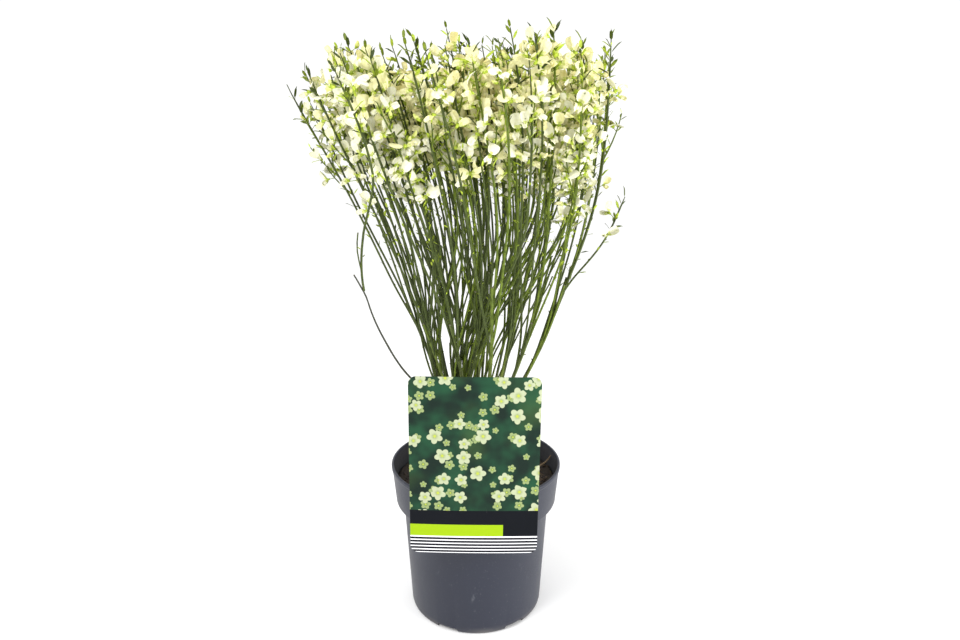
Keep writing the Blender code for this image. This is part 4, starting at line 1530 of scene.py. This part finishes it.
MODELS = {kind: model_flower(kind) for kind in FORMS}
FEET = {kind: split_foot(MODELS[kind]) for kind in FORMS}
MODELS["bud"] = pod("closed_bud", 5, (1.4, 3.7, 1.7), (0, -4.2, 0.4), -6, 0.9)

# %% [markdown]
# The calyx is a small cup, widest at its mouth, and its mouth is turned in so that the petals
# come out of it closely. The stalk is a thin rod that each flower stretches to its own length.

# %% Calyx and stalk
CALYX = {"vertices": 6, "radius1": 0.8 * MM, "radius2": 1.75 * MM, "depth": 3.4 * MM}
STALK = {"vertices": 4, "radius1": 1.0, "radius2": 0.7, "depth": 1.0, "location": (0, 0, 0.5)}

calyx = start("calyx", bpy.ops.mesh.primitive_cone_add, **CALYX)
write_in(calyx, location=(0, -1.6 * MM, 0), **FLAT_ON)
choose(calyx, lambda place: place.y < -3 * MM)
extrude(0, 0.8 * MM, 0)
resize((0.6, 1, 0.6))
turn_out(calyx)
MODELS["calyx"] = calyx
MODELS["stalk"] = write_in(start("stalk", bpy.ops.mesh.primitive_cone_add, **STALK))

# %% [markdown]
# ## The leaf
# Broom leaves are small and lance-shaped, folded along the middle. One model of eight faces serves
# for all of them, from scales of 2 mm at bare nodes to leaves of 14 mm at the tips.

# %% Leaf model
leaf = petal("lance_leaf", 2, 4, 0.29, 1.0)
push(leaf, lambda place: abs(place.x) < 0.02, (0, 0, -0.05))
push(leaf, lambda place: place.y > 0.9, (0, 0.06, -0.05))
squeeze(leaf, lambda place: place.y > 0.85, 0.25)
squeeze(leaf, lambda place: place.y < 0.2, 0.4)
MODELS["leaf"] = write_in(leaf, rotation_euler=(0, 0, math.pi))
print("faces of each model:", {kind: len(model.data.polygons) for kind, model in MODELS.items()})

# %% [markdown]
# ## Growing flowers and leaves
# Each whip carries nodes up its length, a golden angle apart. Below the flowering stretch a node
# has a scale or a small leaf. In it a node has up to two flowers on stalks and a leaf or two, and
# towards the tip more flowers are half open or closed. The tip ends in a tuft of leaves. A copy
# is kept only where all of it stays inside the box of the solids.

# %% One leaf, one flower
# Flowers are tinted by warmth: higher is warmer, and so is nearer a point a little right of the middle.
# That second part is painted shade, the yellow glow of deep, shaded petals, and it keeps the lit left
# side whiter.
WARM_X = 22 * MM  # the warmest flowers stand a little right of the middle
WARM_CHANGE = 26 * MM
TINT_TOPS = (("white", 372), ("ivory", 446), ("lemon", math.inf))  # by warmth in mm
STALK_LENGTH = (2.6, 6.4)
STALK_THICK = 0.36 * MM
FRESH = (3, 8, 9)  # how often a leaf is dark, green or lime beside the flowers
RIPE = (3, 5, 2)  # and elsewhere
LEAF_NAMES = ("dark_leaves", "green_leaves", "lime_leaves")

grown = {}


def frame_on(point, out, up, size=1.0, twist=0.0):
    """The matrix of a model that stands at a point, with -Y towards out and Z near up."""
    back = -out.normalized()
    side = back.cross(up).normalized()
    turn = Matrix((side, back, side.cross(back))).transposed().to_4x4()
    return Matrix.Translation(point) @ turn @ Matrix.Rotation(twist, 4, "Y") @ Matrix.Scale(size, 4)


def grow(kind, model, matrix):
    """Keeps a copy of a model if all its points stay in the box of the solids."""
    inside = all(in_box(matrix @ vertex.co) for vertex in model.data.vertices)
    if inside:
        grown.setdefault(kind, []).append(matrix)
    return inside


def grow_leaf(draw, point, out, along, size, lift, tones=RIPE):
    """A leaf that leaves the stem at an angle; lift 1 is along the stem and 0 straight out."""
    aim = (out * (1 - lift) + along * lift).normalized()
    matrix = frame_on(point, aim, along if lift < 0.7 else -out, size, draw.gauss(0, 0.3))
    grow(draw.choices(LEAF_NAMES, tones)[0], leaf, matrix)


def grow_flower(draw, point, out, along, radius, age):
    """A flower on its stalk. Age runs from 0 at the lowest flowers to 1 at the tip."""
    length = draw.uniform(*STALK_LENGTH) * MM
    aim = (out + along * draw.uniform(0.2, 0.9)).normalized()
    foot = point + out * 0.5 * radius
    head = foot + aim * (length + radius)
    face = out + along * draw.uniform(0.0, 0.95) + side_of(along, draw.uniform(0, ROUND)) * 0.5
    stretch = Matrix.Diagonal((draw.uniform(0.82, 1.1), 1.0, draw.uniform(0.85, 1.1), 1.0))
    matrix = frame_on(head, face, along, draw.uniform(0.84, 1.12), draw.gauss(0, 0.4)) @ stretch
    luck = draw.random()
    kind = draw.choice(("open", "wide"))
    if luck < 0.56 + 0.2 * age**3:
        kind = "half"
    if luck < 0.45 * age**6 + 0.05:
        kind = "bud"
    # Painted shade: nearness to the crown's middle makes the tint yellower, as deep, shaded petals look.
    depth = (head.xy - Vector((fan_axis_x(head.z) + WARM_X, 0))).length
    warmth_with_painted_shade = (head.z - depth + draw.gauss(0, WARM_CHANGE)) / MM
    tint = next(name for name, top in TINT_TOPS if warmth_with_painted_shade < top)
    if not grow(kind if kind == "bud" else f"{kind}_{tint}", MODELS[kind], matrix):
        return
    grow("calyx", calyx, matrix)
    if kind != "bud":
        grow(f"{kind}_foot", FEET[kind], matrix)
    size = Matrix.Diagonal((STALK_THICK, STALK_THICK, (head - foot).length, 1))
    grow("stalk", MODELS["stalk"], Matrix.Translation(foot) @ towards(aim) @ size)


# %% Dressing a stem
NODE_GAP = 9.2 * MM
LEAF_GAP = 11 * MM
LEAFY_REACH = 60 * MM  # this far below the flowers the scales become leaves
TIP_GAP = 3.6 * MM


def dress_foot(draw, stem, turn, first_z, last_z):
    """Scales and small leaves below the flowers."""
    z = first_z
    while z < last_z:
        turn += GOLDEN_ANGLE
        point, along, radius = along_stem(stem, z)
        near = z > last_z - LEAFY_REACH
        sizes, tones, gap = ((3.5, 8.0), FRESH, 0.7) if near else ((1.8, 4.0), RIPE, 1.0)
        size = draw.uniform(*sizes) * MM
        out = side_of(along, turn)
        foot = point + out * 0.8 * radius
        grow_leaf(draw, foot, out, along, size, draw.uniform(0.35, 0.7), tones)
        z += LEAF_GAP * draw.uniform(0.6, 1.6) * gap


def dress_bloom(draw, stem, turn, first_z, last_z, full=1.0):
    """Nodes with flowers, more of them towards the top, and a leaf or two at each."""
    z = first_z
    while z < last_z:
        turn += GOLDEN_ANGLE
        age = (z - first_z) / (last_z - first_z)
        point, along, radius = along_stem(stem, z)
        crowd = full * between((0.24, 1.0), smooth(1.6 * age))
        for twin in range((draw.random() < crowd) + (draw.random() < 0.5 * crowd)):
            out = side_of(along, turn + twin * draw.uniform(1.0, 2.4))
            grow_flower(draw, point, out, along, radius, age)
        for _ in range(draw.choice((1, 2, 2))):
            out = side_of(along, turn + draw.uniform(1.5, 4.5))
            foot, size = point + out * 0.8 * radius, draw.uniform(3.5, 9) * MM
            grow_leaf(draw, foot, out, along, size, draw.uniform(0.3, 0.7), FRESH)
        z += NODE_GAP * draw.uniform(0.7, 1.35)


def dress_tip(draw, stem, turn, count, size, tones=RIPE):
    """The tuft of leaves that ends a shoot."""
    end_z = stem.line[-1].z
    for share in shares(count - 1):
        turn += GOLDEN_ANGLE
        z = between((end_z - TIP_GAP * count, end_z - 0.2 * MM), share)
        point, along, radius = along_stem(stem, z)
        out = side_of(along, turn)
        long = size * draw.uniform(0.75, 1.2) * (1 - 0.25 * share)
        lift = between((0.34, 0.66), share)
        grow_leaf(draw, point + out * 0.5 * radius, out, along, long, lift, tones)


# %% [markdown]
# The photograph decides where a whip starts and stops to flower. In the middle of the fan the
# flowers start higher, at both edges they thin out, and about the middle the tips are paler.

# %% Dress every stem
LOWEST_LEAF_Z = 215 * MM
SPRIG_FULL = 0.45  # the low sprig on the right has few flowers
# Between these two values of x the flowers thin out by this share, right and left.
THINNING = ((94 * MM, 112 * MM, 0.75), (-118 * MM, -144 * MM, 0.45))
MIDDLE_X = 18 * MM
MIDDLE_REACH = 50 * MM
MIDDLE_LIFT = 58 * MM  # how much higher the flowers start in the middle of the fan
PALE_X = -12 * MM  # about here the tips have fewer and fresher leaves
PALE_REACH = 30 * MM
TIP_COUNTS = (6, 7, 8)
TIP_LEAF = 12 * MM
TWIG_LEAF = 7.5 * MM


def fullness(x):
    share = 1.0
    for first, last, cut in THINNING:
        share *= 1 - cut * smooth((x - first) / (last - first))
    return share


def dress_whip(number, stem):
    draw = random.Random(12000 + number)
    tip = stem.line[-1]
    fine = stem.name.startswith("fine")
    inner = smooth(1.2 - abs(along_stem(stem, stem.bloom_z)[0].x - MIDDLE_X) / MIDDLE_REACH)
    bloom_z = stem.bloom_z + draw.uniform(-6, 26) * MM
    bloom_z += MIDDLE_LIFT * inner * draw.uniform(0.3, 1.1) + bumps(LIFTS, tip.x)
    last_z = tip.z - bumps(DIPS, tip.x) - (4 if fine else draw.uniform(3, 11)) * MM
    dress_foot(draw, stem, stem.turn, max(stem.line[0].z + 14 * MM, LOWEST_LEAF_Z), bloom_z)
    full = (0.8 if fine else 1.0) * fullness(tip.x)
    if tip.z < SPRIG_Z[2]:
        full = SPRIG_FULL
    dress_bloom(draw, stem, stem.turn + 1, bloom_z, last_z, full)
    pale = fine or abs(tip.x - PALE_X) < PALE_REACH
    count = 3 if pale else draw.choice(TIP_COUNTS)
    dress_tip(draw, stem, stem.turn + 2, count, TIP_LEAF, FRESH if pale else RIPE)


def dress_twig(number, twig):
    draw = random.Random(18000 + number)
    tip = twig.line[-1]
    full = fullness(tip.x)
    dress_bloom(draw, twig, twig.turn, twig.line[0].z + 5 * MM, tip.z - 3 * MM, full)
    dress_tip(draw, twig, twig.turn, 3, TWIG_LEAF, FRESH)


for number, stem in enumerate(WHIPS):
    dress_whip(number, stem)
for number, twig in enumerate(TWIGS):
    dress_twig(number, twig)
print({kind: len(matrices) for kind, matrices in sorted(grown.items())})

# %% [markdown]
# ## Petal and leaf finishes
# Low flowers are nearly white and the highest are a pale lemon. Flowers nearer the crown's middle are
# also tinted yellower, and that part is painted shade: the yellow glow of deep, shaded petals, with the
# lit left side kept whiter. Each tint is a piece with its own colour. What changes within a petal is
# fine: faint veins and a slight change of gloss.

# %% Soft finish


def soft_finish(name, low, high, roughness=0.5, scale=420):
    """A thin living surface: two close colours, a fine change of gloss and slight relief."""
    finish = Finish(name, roughness)
    cell = finish.noise(scale, 3, rough=0.6)
    vein = finish.noise(2.4 * scale, 4, (1, 1, 0.3), 0.65)
    finish.coat(finish.step(cell, 0.3, 0.7), low, high)
    finish.coat(vein * 0.3, low)
    gloss = roughness + 0.15 * (vein - 0.5)
    return finish.done(vein, 0.12 * MM, Roughness=gloss, Specular_IOR_Level=0.2)


# %% Petals and feet
PETAL_TINTS = {
    "white": ((0.75, 0.74, 0.51), (0.87, 0.86, 0.71)),
    "ivory": ((0.75, 0.71, 0.35), (0.88, 0.85, 0.54)),
    "lemon": ((0.76, 0.69, 0.28), (0.89, 0.83, 0.48)),
}


def strewn(name, models, ending):
    """All copies of the three forms that have this ending, joined into one piece."""
    kinds = [kind for kind in FORMS if grown.get(f"{kind}_{ending}")]
    copies = [strew(f"{kind}_{name}", models[kind], grown[f"{kind}_{ending}"]) for kind in kinds]
    return join(name, copies)


for tint, colours in PETAL_TINTS.items():
    petals = strewn(f"petals_{tint}", MODELS, tint)
    on_plant(petals, soft_finish(f"petal_{tint}", *colours))
feet = strewn("petal_feet", FEET, "foot")
on_plant(feet, soft_finish("petal_foot", (0.50, 0.55, 0.14), (0.76, 0.80, 0.34)))

# %% Buds, calyces, stalks and leaves
# Each row: piece, what grew there, its model, its slot, two colours and its roughness.
SMALL_PIECES = (
    ("flower_buds", "bud", "bud", "bloom", (0.62, 0.66, 0.16), (0.84, 0.86, 0.36), 0.5),
    ("calyces", "calyx", "calyx", "green_stem", (0.30, 0.41, 0.025), (0.52, 0.63, 0.07), 0.5),
    ("flower_stalks", "stalk", "stalk", "green_stem", (0.20, 0.28, 0.04), (0.36, 0.44, 0.08), 0.5),
    ("dark_leaves", None, "leaf", "green_stem", (0.028, 0.046, 0.007), (0.075, 0.105, 0.012), 0.45),
    ("green_leaves", None, "leaf", "green_stem", (0.092, 0.132, 0.007), (0.205, 0.262, 0.015), 0.45),
    ("lime_leaves", None, "leaf", "green_stem", (0.330, 0.440, 0.025), (0.560, 0.680, 0.080), 0.45),
)
for name, kind, model, slot, low, high, roughness in SMALL_PIECES:
    piece = strew(name, MODELS[model], grown[kind or name])
    on_plant(piece, soft_finish(name + "_skin", low, high, roughness))
for model in (*MODELS.values(), *FEET.values()):
    bpy.data.objects.remove(model)

# %% [markdown]
# ## The studio
# A plain pale floor under plain soft light: a white surround fills every shadow, one large soft
# light stands high on the left in front, and a weaker one on the right lifts the pot's side.

# %% Floor
floor = start("studio_floor", bpy.ops.mesh.primitive_plane_add, size=24)
paper = Finish("white_paper", 0.9)
paper.set(Base_Color=(0.97, 0.97, 0.97, 1.0))
floor.data.materials.append(paper.material)

# %% Light
SURROUND = 1.06

world = bpy.data.worlds.new("white_surround")
bpy.context.scene.world = world
world.use_nodes = True
surround = world.node_tree.nodes["Background"]
surround.inputs["Color"].default_value = (1.0, 1.0, 1.0, 1.0)
surround.inputs["Strength"].default_value = SURROUND


def soft_light(name, place, target, size, power):
    light = start(name, bpy.ops.object.light_add, type="AREA", location=place)
    aim = Vector(target) - Vector(place)
    light.rotation_euler = aim.to_track_quat("-Z", "Y").to_euler()
    light.data.size = size
    light.data.energy = power


soft_light("key_light", (-1.0, -1.0, 1.5), (0, 0, 0.4), 0.8, 20)
soft_light("side_light", (1.2, -0.7, 0.3), (0, 0, 0.1), 0.7, 17)
bpy.context.scene.view_settings.view_transform = "Standard"
